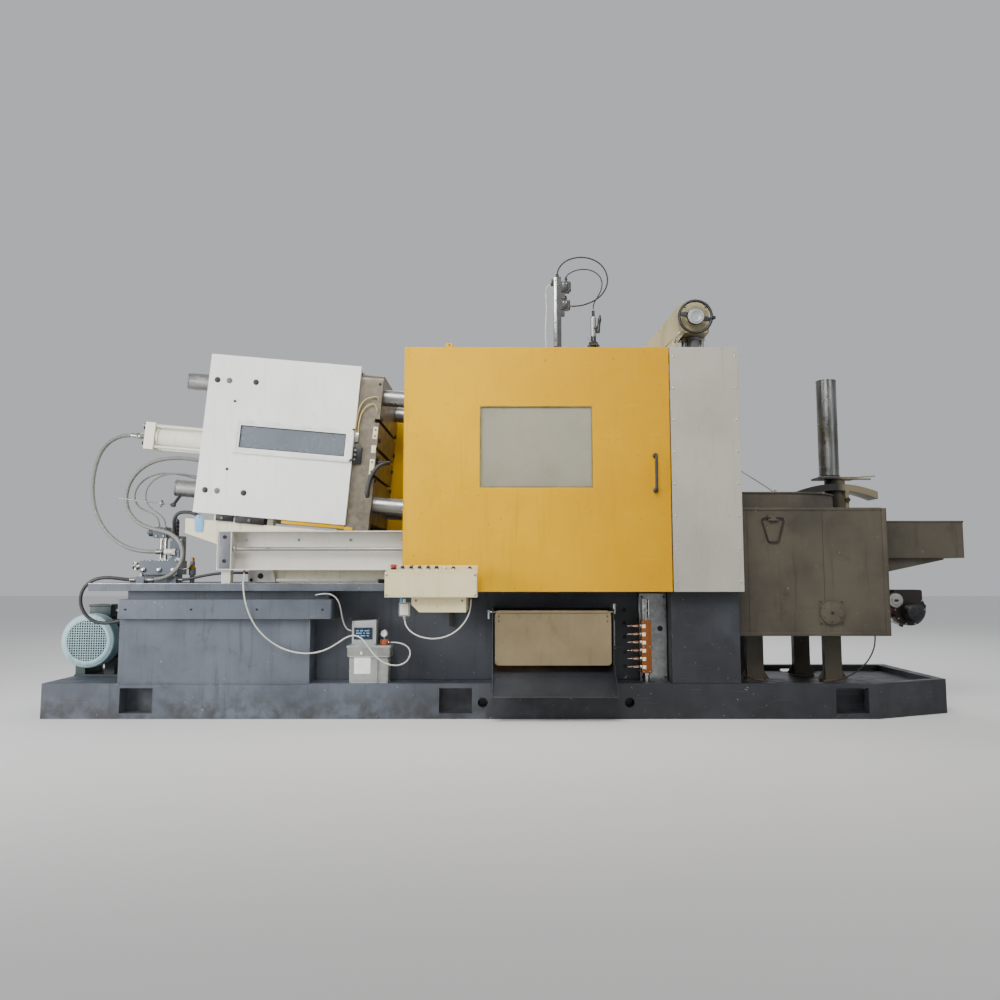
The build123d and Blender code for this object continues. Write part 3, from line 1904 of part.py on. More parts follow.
def tray_hoses():
    """The hose that hangs under the tray's end, and the one to the clamp frame."""
    block_z = deck_top + return_block_height / 2
    tube(
        "tank_hose",
        tank_hose_diameter,
        [
            (tray_left + return_block_x, return_block_y, block_z),
            (-2350, -500, 838),
            (-2410, -506, 846),
            (-2470, -511, 853),
            (-2530, -512, 850),
            (-2586, -508, 831),
            (-2630, -501, 794),
            (-2655, -493, 740),
            (-2655, -484, 680),
            (-2632, -475, 625),
            (-2587, -467, 583),
            (-2529, -461, 565),
            (-2469, -460, 571),
            (-2410, -460, 583),
            (tank_left, -460, 583),
        ],
    )
    tube(
        "bed_hose",
        bed_hose_diameter,
        [
            (tray_left + bed_block_x + bed_block_width, bed_block_y, block_z),
            (-2015, -428, 838),
            (-1950, -431, 854),
            (-1880, -436, 868),
            (-1810, -441, 878),
            (-1740, -446, 882),
            (-1650, -450, 882),
            (frame_left, -450, 882),
        ],
    )


def lube_tubes():
    """The white tube that loops down to the lubricator's cap, and the short feed to its head."""
    cap_x = lube_x + lube_width / 2 - lube_cap / 2
    middle = front + lube_front + lube_depth / 2
    cap_z = plinth_height + lube_height + lube_cap_height / 2
    head_x = lube_x - lube_width / 2 + lube_ledge * 2
    tube(
        "lube_tube",
        lube_tube_diameter,
        [
            (-1590, -640, rail_bottom),
            (-1590, -640, 871),
            (-1588, -657, 844),
            (-1584, -683, 824),
            (-1578, -697, 790),
            (-1571, -701, 742),
            (-1559, -698, 688),
            (-1540, -691, 630),
            (-1512, -682, 574),
            (-1474, -672, 522),
            (-1427, -664, 477),
            (-1372, -658, 440),
            (-1311, -654, 413),
            (-1246, -652, 398),
            (-1180, -651, 394),
            (-1115, -651, 404),
            (-1054, -651, 427),
            (-1000, -651, 462),
            (-953, -650, 494),
            (-905, -649, 506),
            (-862, -648, 487),
            (-828, -647, 445),
            (-794, -646, 396),
            (-750, -645, 354),
            (-697, -643, 327),
            (-641, -639, 320),
            (-593, -630, 338),
            (-568, -615, 376),
            (-572, -595, 417),
            (-607, -565, 443),
            (-651, -540, 452),
            (-683, -535, 453),
            (cap_x, middle, cap_z),
        ],
    )
    tube(
        "lube_feed",
        lube_feed_diameter,
        [
            (-1156, front + neck_setback, 745),
            (-1156, -624, 745),
            (-1130, -650, 751),
            (-1076, -650, 757),
            (-1032, -641, 742),
            (-1008, -622, 703),
            (-999, -600, 652),
            (-994, -577, 604),
            (-985, -552, 561),
            (-963, -535, 524),
            (head_x, middle, 524),
        ],
    )


def panel_cable():
    """The cable that loops from the switch box back to the underside of the operator panel."""
    low = door_bottom - panel_drop
    y = front - panel_front + panel_box_depth / 2 + switch_depth / 2
    tube(
        "panel_cable",
        panel_cable_diameter,
        [
            (-580, y, low - switch_neck - switch_height),
            (-580, y, 597),
            (-563, y + 2, 557),
            (-522, y + 3, 522),
            (-464, y + 3, 501),
            (-392, y + 2, 496),
            (-322, y + 1, 513),
            (-262, y, 551),
            (-217, y, 605),
            (-190, y, 668),
            (-190, y, low),
        ],
    )


def mast_cables():
    """The cables that loop over the spray mast and its nozzle post."""
    lower_z = mast_top - mast_valve * 3.2
    lower_right = mast_x + mast_width / 2 + mast_valve * 0.9
    upper_x = mast_x + mast_width / 2 + mast_valve * 0.6
    tube(
        "mast_cable",
        mast_cable_diameter,
        [
            (mast_x, 0, mast_top),
            (381, 0, 2992),
            (403, -5, 3035),
            (443, -11, 3069),
            (499, -17, 3088),
            (561, -21, 3092),
            (622, -23, 3079),
            (676, -24, 3049),
            (715, -24, 3003),
            (734, -23, 2946),
            (730, -21, 2886),
            (702, -17, 2831),
            (656, -11, 2789),
            (598, -5, 2761),
            (530, 0, 2743),
            (lower_right, 0, lower_z - mast_valve / 4),
        ],
    )
    tube(
        "nozzle_cable",
        mast_wire_diameter,
        [
            (nozzle_x, 0, nozzle_top),
            (632, 0, 2746),
            (646, 4, 2784),
            (673, 9, 2825),
            (695, 14, 2873),
            (700, 18, 2924),
            (682, 20, 2969),
            (644, 20, 3001),
            (594, 18, 3016),
            (544, 13, 3014),
            (499, 7, 3000),
            (464, 2, 2980),
            (443, 0, 2957),
            (upper_x, 0, mast_top - mast_valve * 0.25),
        ],
    )
    tube(
        "mast_wire",
        mast_wire_diameter,
        [
            (mast_x - mast_width / 2, 0, 2900),
            (330, 0, 2900),
            (308, 0, 2884),
            (300, 0, 2848),
            (301, 0, 2802),
            (305, 0, 2736),
            (302, 0, 2660),
            (296, 0, 2578),
            (298, 0, 2505),
            (301, 0, 2447),
            (300, 0, 2405),
            (301, 0, 2373),
            (307, 0, 2351),
            (320, 0, 2336),
            (337, 0, 2330),
            (mast_x - mast_width / 2, 0, 2330),
        ],
    )


def burner_cable():
    """The cable that hangs from the furnace and lies across the plinth to the column."""
    tube(
        "burner_cable",
        burner_cable_diameter,
        [
            (2400, -300, furnace_bottom),
            (2400, -300, 438),
            (2382, -301, 376),
            (2344, -302, 314),
            (2286, -303, 260),
            (2212, -304, 218),
            (2126, -305, 190),
            (2030, -306, 180),
            (1920, -306, 181),
            (1800, -305, 179),
            (1690, -303, 182),
            (1610, -301, 196),
            (1553, -300, 226),
            (1500, -300, 246),
            (column_right, -300, 246),
        ],
    )


bed_plinth()
oil_tank()
drip_tray()
machine_bed()
bed_column()
chute()
chute_flap()
coolant_manifold()
lubricator()
operator_panel()
door_rail()
sliding_door()
fixed_guards()
clamp_frame()
clamp_unit()
clamp_cylinder()
toggle_cover()
pump_motor()
injection_unit()
handwheel()
spray_unit()
furnace()
flue_arch()
hopper()
burner()
furnace_bail()
valve_block()
clamp_hoses()
tray_hoses()
lube_tubes()
panel_cable()
mast_cables()
burner_cable()
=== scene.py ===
import math

import bmesh
import bpy
from mathutils import Matrix, Vector


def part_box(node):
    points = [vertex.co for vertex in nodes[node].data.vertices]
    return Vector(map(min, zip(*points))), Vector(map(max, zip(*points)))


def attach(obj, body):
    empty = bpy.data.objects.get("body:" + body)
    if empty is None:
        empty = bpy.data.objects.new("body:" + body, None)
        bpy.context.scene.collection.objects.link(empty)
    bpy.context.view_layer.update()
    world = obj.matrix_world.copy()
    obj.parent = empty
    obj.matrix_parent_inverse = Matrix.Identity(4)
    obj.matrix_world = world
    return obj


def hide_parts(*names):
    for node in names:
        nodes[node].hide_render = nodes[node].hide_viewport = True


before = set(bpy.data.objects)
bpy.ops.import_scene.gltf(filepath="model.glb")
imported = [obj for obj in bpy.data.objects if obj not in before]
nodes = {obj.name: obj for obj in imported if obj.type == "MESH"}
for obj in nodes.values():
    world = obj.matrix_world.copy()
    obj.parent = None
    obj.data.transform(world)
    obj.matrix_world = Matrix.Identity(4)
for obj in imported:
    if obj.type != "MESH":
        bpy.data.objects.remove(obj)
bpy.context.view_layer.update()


def rgb(red, green, blue):
    # 0-255 screen values to Blender's linear ones
    made = []
    for value in (red / 255, green / 255, blue / 255):
        made.append(value / 12.92 if value <= 0.04045 else ((value + 0.055) / 1.055) ** 2.4)
    return (*made, 1.0)


# Materials: every colour is given in 0-255 screen values

def newShader(name):
    material = bpy.data.materials.new(name)
    material.use_nodes = True
    tree = material.node_tree
    tree.nodes.clear()
    output = tree.nodes.new("ShaderNodeOutputMaterial")
    shader = tree.nodes.new("ShaderNodeBsdfPrincipled")
    tree.links.new(shader.outputs["BSDF"], output.inputs["Surface"])
    return material, tree, shader


def newNode(tree, kind, values):
    node = tree.nodes.new("ShaderNode" + kind)
    for socket, value in values.items():
        node.inputs[socket].default_value = value
    return node


def feed(tree, value, socket):
    # a colour, a number or another node's output
    if isinstance(value, tuple):
        socket.default_value = rgb(*value)
    elif isinstance(value, (float, int)):
        socket.default_value = value
    else:
        tree.links.new(value, socket)


def coordsOf(tree, stretch):
    coords = tree.nodes.new("ShaderNodeTexCoord")
    mapping = newNode(tree, "Mapping", {"Scale": stretch})
    tree.links.new(coords.outputs["Object"], mapping.inputs["Vector"])
    return mapping.outputs["Vector"]


def alongOf(tree, axis):
    coords = tree.nodes.new("ShaderNodeTexCoord")
    parts = tree.nodes.new("ShaderNodeSeparateXYZ")
    tree.links.new(coords.outputs["Object"], parts.inputs[0])
    return parts.outputs[axis]


def noiseOf(tree, scale, stretch=(1, 1, 1), detail=4.0, roughness=0.55, distortion=0.0):
    noise = newNode(tree, "TexNoise", {"Scale": scale, "Detail": detail, "Roughness": roughness,
                                       "Distortion": distortion})
    tree.links.new(coordsOf(tree, stretch), noise.inputs["Vector"])
    return noise.outputs["Fac"]


def remap(tree, source, low, high, first=0.0, last=1.0):
    node = newNode(tree, "MapRange", {"From Min": low, "From Max": high, "To Min": first, "To Max": last})
    node.interpolation_type = "SMOOTHSTEP"
    tree.links.new(source, node.inputs["Value"])
    return node.outputs["Result"]


def mixed(tree, factor, first, second):
    node = tree.nodes.new("ShaderNodeMix")
    node.data_type = "RGBA"
    for value, socket in ((factor, 0), (first, 6), (second, 7)):
        feed(tree, value, node.inputs[socket])
    return node.outputs[2]


def product(tree, first, second, operation="MULTIPLY"):
    node = tree.nodes.new("ShaderNodeMath")
    node.operation = operation
    feed(tree, first, node.inputs[0])
    feed(tree, second, node.inputs[1])
    return node.outputs[0]


def roughened(tree, shader, patches, low, high):
    tree.links.new(remap(tree, patches, 0.3, 0.7, low, high), shader.inputs["Roughness"])


def bumped(tree, shader, height, strength, distance=0.001):
    bump = newNode(tree, "Bump", {"Strength": strength, "Distance": distance})
    tree.links.new(height, bump.inputs["Height"])
    tree.links.new(bump.outputs["Normal"], shader.inputs["Normal"])


look = {}


def agedPaint(name, colour, shade, grime, chip, runs, smears, rough, chips=0.5, scratch=None, scratches=0.5,
              metallic=0.0, gloss=0.4, peel=0.1, blotchScale=1.6, floorDirt=0.0, fade=None):
    # paint with blotches, runs of dirt, chips down to metal and fine scratches
    material, tree, shader = newShader(name)
    blotch = remap(tree, noiseOf(tree, blotchScale, detail=6.0), 0.35, 0.7)
    paint = mixed(tree, blotch, colour, shade)
    streaks = noiseOf(tree, 3.0, (9.0, 9.0, 0.7), detail=5.0, roughness=0.65)
    paint = mixed(tree, remap(tree, streaks, 0.52, 0.78, 0.0, runs), paint, grime)
    smear = noiseOf(tree, 7.0, detail=8.0, roughness=0.7, distortion=0.6)
    paint = mixed(tree, remap(tree, smear, 0.56, 0.74, 0.0, smears), paint, grime)
    if floorDirt:
        low = remap(tree, alongOf(tree, "Z"), floorDirt, 0.0, 0.0, 0.75)
        patches = remap(tree, noiseOf(tree, 14.0, detail=6.0), 0.3, 0.65)
        paint = mixed(tree, product(tree, low, patches), paint, grime)
    if fade:
        # paint that changes along the machine: on the bed and the yellow guards a painted shade that darkens
        # toward the furnace end, on the flue arch and the burner a second colour
        near = remap(tree, alongOf(tree, "X"), fade["start"], fade["end"], 0.0, fade["amount"])
        patches = remap(tree, noiseOf(tree, 2.4, detail=6.0), 0.2, 0.6, 0.75, 1.0)
        paint = mixed(tree, product(tree, near, patches), paint, fade["colour"])
    worn = noiseOf(tree, 38.0, detail=3.0, roughness=0.6)
    paint = mixed(tree, remap(tree, worn, 0.70, 0.735, 0.0, chips), paint, chip)
    lines = noiseOf(tree, 2.2, (1.3, 1.3, 90.0), detail=2.0, distortion=0.25)
    paint = mixed(tree, remap(tree, lines, 0.70, 0.725, 0.0, scratches), paint, scratch or shade)
    tree.links.new(paint, shader.inputs["Base Color"])
    roughened(tree, shader, noiseOf(tree, 9.0, detail=6.0), rough - 0.08, rough + 0.16)
    shader.inputs["Metallic"].default_value = metallic
    shader.inputs["Specular IOR Level"].default_value = gloss
    bumped(tree, shader, noiseOf(tree, 240.0, detail=2.0), peel)
    look[name] = material


def metal(name, colour, shade, stain, stains=0.45, rough=0.28, metallic=1.0, grain=(1.0, 1.0, 40.0),
          grainScale=30.0, stainScale=5.0, bump=0.08):
    # bare metal with machining lines along one way, tarnish and oily patches
    material, tree, shader = newShader(name)
    lines = noiseOf(tree, grainScale, grain, detail=3.0)
    bare = mixed(tree, remap(tree, lines, 0.3, 0.7), colour, shade)
    patches = remap(tree, noiseOf(tree, stainScale, detail=7.0, roughness=0.65), 0.48, 0.72, 0.0, stains)
    tree.links.new(mixed(tree, patches, bare, stain), shader.inputs["Base Color"])
    roughened(tree, shader, noiseOf(tree, 16.0, detail=5.0), rough - 0.07, rough + 0.14)
    shader.inputs["Metallic"].default_value = metallic
    bumped(tree, shader, lines, bump)
    look[name] = material


def plastic(name, colour, shade, rough):
    material, tree, shader = newShader(name)
    cloud = remap(tree, noiseOf(tree, 12.0, detail=5.0), 0.35, 0.7)
    tree.links.new(mixed(tree, cloud, colour, shade), shader.inputs["Base Color"])
    roughened(tree, shader, noiseOf(tree, 20.0), rough - 0.06, rough + 0.12)
    bumped(tree, shader, noiseOf(tree, 420.0, detail=1.0), 0.06, 0.0006)
    look[name] = material


def sleeved(name, colour, shade, rough, weave):
    # rubber or nylon tube; weave sets how strongly its braid shows
    material, tree, shader = newShader(name)
    braid = newNode(tree, "TexVoronoi", {"Scale": 260.0})
    tree.links.new(coordsOf(tree, (1.0, 1.0, 1.0)), braid.inputs["Vector"])
    cells = remap(tree, braid.outputs["Distance"], 0.1, 0.6, 0.0, weave)
    worn = remap(tree, noiseOf(tree, 9.0, detail=6.0), 0.4, 0.7, 0.0, 0.6)
    cover = mixed(tree, product(tree, cells, worn, "MAXIMUM"), colour, shade)
    tree.links.new(cover, shader.inputs["Base Color"])
    roughened(tree, shader, noiseOf(tree, 30.0), rough - 0.06, rough + 0.12)
    bumped(tree, shader, braid.outputs["Distance"], 0.05 + weave * 0.5, 0.0012)
    look[name] = material


def pane(name, colour, shade, clearness, rough):
    # a scratched, dusty sheet of glass or polycarbonate
    material, tree, shader = newShader(name)
    dust = remap(tree, noiseOf(tree, 3.0, detail=8.0, roughness=0.7), 0.35, 0.75)
    tree.links.new(mixed(tree, dust, colour, shade), shader.inputs["Base Color"])
    roughened(tree, shader, noiseOf(tree, 6.0, detail=6.0), rough - 0.1, rough + 0.15)
    shader.inputs["Transmission Weight"].default_value = clearness
    shader.inputs["IOR"].default_value = 1.46
    bumped(tree, shader, noiseOf(tree, 2.0, (2.0, 2.0, 70.0), detail=2.0, distortion=0.4), 0.08)
    look[name] = material


# Paints: colour, shade, grime and bare chips, then how much there is of each
# the bed's grey darkens from left to right: painted shade for light falling off toward the furnace end
agedPaint("bedPaint", (92, 98, 108), (70, 75, 84), (48, 46, 42), (158, 158, 152), scratch=(116, 119, 122),
    scratches=0.22, runs=0.45, smears=0.45, floorDirt=0.25, rough=0.4,
    fade={"start": -1.6, "end": 0.8, "colour": (21, 22, 25), "amount": 0.86})
# the guards' yellow darkens toward the right: painted shade for light falling off toward the furnace end
agedPaint("guardYellow", (216, 166, 0), (206, 156, 0), (132, 96, 10), (96, 84, 50), scratch=(238, 190, 40),
    runs=0.22, smears=0.14, rough=0.36, gloss=0.12,
    fade={"start": -0.5, "end": 1.2, "colour": (178, 128, 0), "amount": 0.86})
agedPaint("panelWhite", (204, 201, 192), (190, 187, 177), (128, 118, 98), (92, 88, 80),
    runs=0.25, smears=0.18, rough=0.4)
agedPaint("panelGrey", (160, 156, 146), (146, 142, 132), (112, 104, 88), (92, 88, 80),
    runs=0.25, smears=0.18, rough=0.4)
agedPaint("panelCream", (216, 206, 166), (200, 190, 150), (128, 112, 78), (90, 82, 66),
    chips=0.45, runs=0.25, smears=0.2, rough=0.4)
agedPaint("armCream", (172, 162, 126), (150, 140, 106), (96, 84, 60), (76, 68, 54),
    runs=0.4, smears=0.35, rough=0.42)
agedPaint("coverWhite", (240, 240, 237), (230, 230, 226), (150, 140, 118), (110, 104, 92),
    chips=0.35, runs=0.2, smears=0.1, rough=0.36)
agedPaint("cylinderCream", (246, 244, 230), (234, 231, 214), (132, 116, 86), (90, 82, 66),
    chips=0.4, runs=0.2, smears=0.15, rough=0.4)
agedPaint("frameCream", (234, 228, 202), (216, 208, 178), (120, 102, 70), (80, 72, 58),
    chips=0.6, runs=0.4, smears=0.35, rough=0.42)
agedPaint("furnaceBrown", (78, 72, 60), (60, 55, 46), (44, 38, 30), (134, 126, 110),
    runs=0.5, smears=0.5, rough=0.5, blotchScale=2.6, peel=0.2)
agedPaint("flapBeige", (132, 119, 90), (112, 99, 73), (72, 60, 42), (88, 80, 66),
    chips=0.7, runs=0.5, smears=0.5, rough=0.45)
agedPaint("cylinderGrey", (128, 130, 132), (98, 100, 102), (54, 50, 44), (170, 168, 160),
    runs=0.4, smears=0.5, rough=0.38, metallic=0.3)
agedPaint("fanMint", (158, 190, 194), (136, 166, 170), (84, 84, 74), (110, 110, 100),
    runs=0.35, smears=0.4, rough=0.42)
agedPaint("motorTeal", (52, 66, 66), (40, 50, 50), (28, 26, 22), (110, 110, 104),
    runs=0.4, smears=0.5, rough=0.45)
agedPaint("scorchedCream", (32, 31, 28), (22, 22, 20), (54, 46, 34), (110, 102, 88),
    chips=0.4, runs=0.3, smears=0.3, rough=0.46,
    fade={"start": 2.34, "end": 2.42, "colour": (128, 119, 94), "amount": 1.0})
agedPaint("blackEnamel", (34, 34, 36), (24, 24, 26), (70, 66, 58), (128, 126, 120),
    chips=0.45, runs=0.2, smears=0.25, rough=0.36)
agedPaint("burnerRed", (74, 16, 14), (46, 12, 12), (20, 17, 16), (80, 66, 60),
    chips=0.3, runs=0.35, smears=0.5, rough=0.38,
    fade={"start": 2.56, "end": 2.63, "colour": (20, 18, 18), "amount": 1.0})
agedPaint("valveGrey", (96, 102, 112), (74, 80, 90), (46, 44, 42), (150, 150, 144),
    runs=0.3, smears=0.45, rough=0.38)
agedPaint("manifoldOrange", (138, 76, 6), (106, 56, 4), (58, 36, 18), (180, 140, 80),
    chips=0.4, runs=0.4, smears=0.4, rough=0.35)
agedPaint("clearTank", (146, 148, 144), (118, 118, 112), (92, 88, 78), (150, 150, 144),
    chips=0.1, runs=0.5, smears=0.3, rough=0.24)

# Metals: colour, shade and stain
metal("machinedSteel", (150, 152, 152), (132, 134, 134), (100, 98, 92), stains=0.25, grain=(1.0, 30.0, 1.0))
metal("platenSteel", (120, 113, 99), (103, 96, 82), (74, 68, 56), stains=0.35, rough=0.42, metallic=0.45,
    grain=(1.0, 30.0, 1.0))
metal("chromedBar", (158, 158, 158), (146, 145, 142), (118, 113, 103), stains=0.2, rough=0.33, metallic=0.8,
    grain=(60.0, 1.0, 1.0), bump=0.01)
metal("flueSteel", (140, 142, 142), (92, 92, 88), (78, 72, 58), stains=0.75, rough=0.3,
    grain=(1.0, 1.0, 0.1))
metal("castIron", (72, 70, 66), (48, 46, 43), (94, 66, 44), rough=0.62, metallic=0.7, grain=(1.0, 1.0, 1.0),
    grainScale=60.0, bump=0.5)
metal("nickelFitting", (190, 190, 186), (160, 160, 156), (112, 100, 80), rough=0.24)
metal("darkCasting", (52, 53, 56), (36, 36, 38), (80, 70, 56), rough=0.45, metallic=0.6)
metal("mastAluminium", (196, 198, 198), (168, 170, 170), (130, 124, 110), stains=0.25, rough=0.3,
    grain=(60.0, 60.0, 1.0))
metal("wornSteel", (176, 176, 172), (104, 108, 112), (88, 92, 98), stains=0.9, rough=0.34, metallic=0.8,
    grain=(14.0, 1.0, 1.0), stainScale=7.0)
metal("postGrey", (112, 114, 120), (92, 94, 100), (70, 66, 58), rough=0.45, metallic=0.1)
metal("brassFitting", (176, 140, 70), (140, 106, 48), (84, 66, 40), rough=0.3)

# Hoses, plastics and panes: colour, shade and roughness
for name, colour, shade, rough, weave in (("braidedHose", (150, 150, 144), (100, 100, 96), 0.45, 0.8),
    ("blackHose", (40, 42, 46), (66, 66, 66), 0.5, 0.35),
    ("nylonTube", (206, 206, 198), (168, 166, 152), 0.34, 0.1),
    ("blackCable", (26, 26, 28), (52, 50, 48), 0.5, 0.1),
):
    sleeved(name, colour, shade, rough, weave)
for name, colour, shade, rough in (
    ("blackPlastic", (30, 30, 32), (42, 41, 40), 0.42), ("lubeGrey", (160, 166, 166), (138, 144, 143), 0.34),
    ("greyPlastic", (104, 104, 104), (84, 84, 82), 0.45),
    ("trimWhite", (232, 232, 230), (212, 212, 208), 0.34),
    ("stopRed", (196, 44, 40), (160, 30, 28), 0.32), ("tagBlue", (120, 178, 216), (96, 150, 190), 0.42),
    ("displayBlue", (26, 46, 70), (16, 28, 44), 0.2), ("displayPale", (126, 168, 196), (96, 134, 160), 0.3),
    ("capOrange", (172, 92, 52), (138, 68, 36), 0.4),
    ("fittingWhite", (222, 222, 216), (196, 194, 184), 0.36),
    # the near-black plastic on this line is painted shade: discs and sheets that stand for the dark inside
    # holes and behind the fan grille
    ("paleYellow", (206, 190, 120), (176, 158, 90), 0.45), ("paintedShadeBlack", (12, 12, 13), (20, 20, 20), 0.8),
    ("paneRubber", (120, 112, 60), (88, 80, 40), 0.6), ("soot", (38, 34, 28), (26, 23, 19), 0.7),
    ("dialGrey", (158, 162, 162), (132, 136, 136), 0.3),
):
    plastic(name, colour, shade, rough)
pane("doorPane", (160, 156, 138), (140, 136, 118), clearness=0.3, rough=0.45)
pane("sightPane", (118, 126, 134), (100, 108, 116), clearness=0.2, rough=0.22)

dressing = {
    "bedPaint": ["bed_plinth", "oil_tank", "drip_tray", "machine_bed", "bed_column", "chute"],
    "guardYellow": ["door_panel", "rear_guard", "guard_frame"],
    "panelWhite": ["door_rail"], "panelGrey": ["fixed_panel"], "panelCream": ["operator_panel"],
    "armCream": ["injection_arm"], "coverWhite": ["toggle_cover"], "cylinderCream": ["clamp_cylinder"],
    "frameCream": ["clamp_frame", "rear_platen", "fixed_platen"], "valveGrey": ["valve_block"],
    "furnaceBrown": ["furnace_body", "furnace_legs", "ingot_tray"], "flapBeige": ["chute_flap"],
    "cylinderGrey": ["shot_cylinder"], "fanMint": ["fan_cover"], "motorTeal": ["pump_motor"],
    "blackEnamel": ["handwheel", "spray_mast", "furnace_bail"], "burnerRed": ["burner"],
    "manifoldOrange": ["coolant_manifold"], "machinedSteel": ["manifold_plate", "tie_bar_nuts"],
    "platenSteel": ["moving_platen"], "scorchedCream": ["flue_arch", "damper"],
    "chromedBar": ["tie_bars", "guide_rod", "shot_columns"], "flueSteel": ["chimney"],
    "castIron": ["melting_pot", "gooseneck"], "blackPlastic": ["panel_controls", "door_handle"],
    "lubeGrey": ["lubricator"], "doorPane": ["door_window"], "sightPane": ["cover_window"],
}
for finish, names in dressing.items():
    for name in names:
        mesh = nodes[name].data
        mesh.materials.clear()
        mesh.materials.append(look[finish])
print("materials made:", len(look))

# Camera, where the photograph was taken from
view = {"place": (-0.001, -6.51, 0.882), "pitch": 6.2, "lens": 34.2, "shiftX": -0.003, "shiftY": -0.0304}
camera = bpy.data.objects.new("camera", bpy.data.cameras.new("camera"))
camera.location = view["place"]
camera.rotation_euler = (math.radians(90 + view["pitch"]), 0, 0)
camera.data.lens = view["lens"]
camera.data.shift_x = view["shiftX"]
camera.data.shift_y = view["shiftY"]
bpy.context.scene.collection.objects.link(camera)
bpy.context.scene.camera = camera


def tube(name, points, radius, finish, roundness):
    # a round bar that bends through its points
    line = bpy.data.curves.new(name, "CURVE")
    line.dimensions = "3D"
    line.bevel_depth = radius
    line.bevel_resolution = roundness
    line.resolution_u = 8
    line.use_fill_caps = True
    spline = line.splines.new("NURBS")
    spline.points.add(len(points) - 1)
    for point, place in zip(spline.points, points):
        point.co = (*place, 1.0)
    spline.order_u = 3
    spline.use_endpoint_u = True
    line.materials.append(look[finish])
    made = bpy.data.objects.new(name, line)
    bpy.context.scene.collection.objects.link(made)
    return made


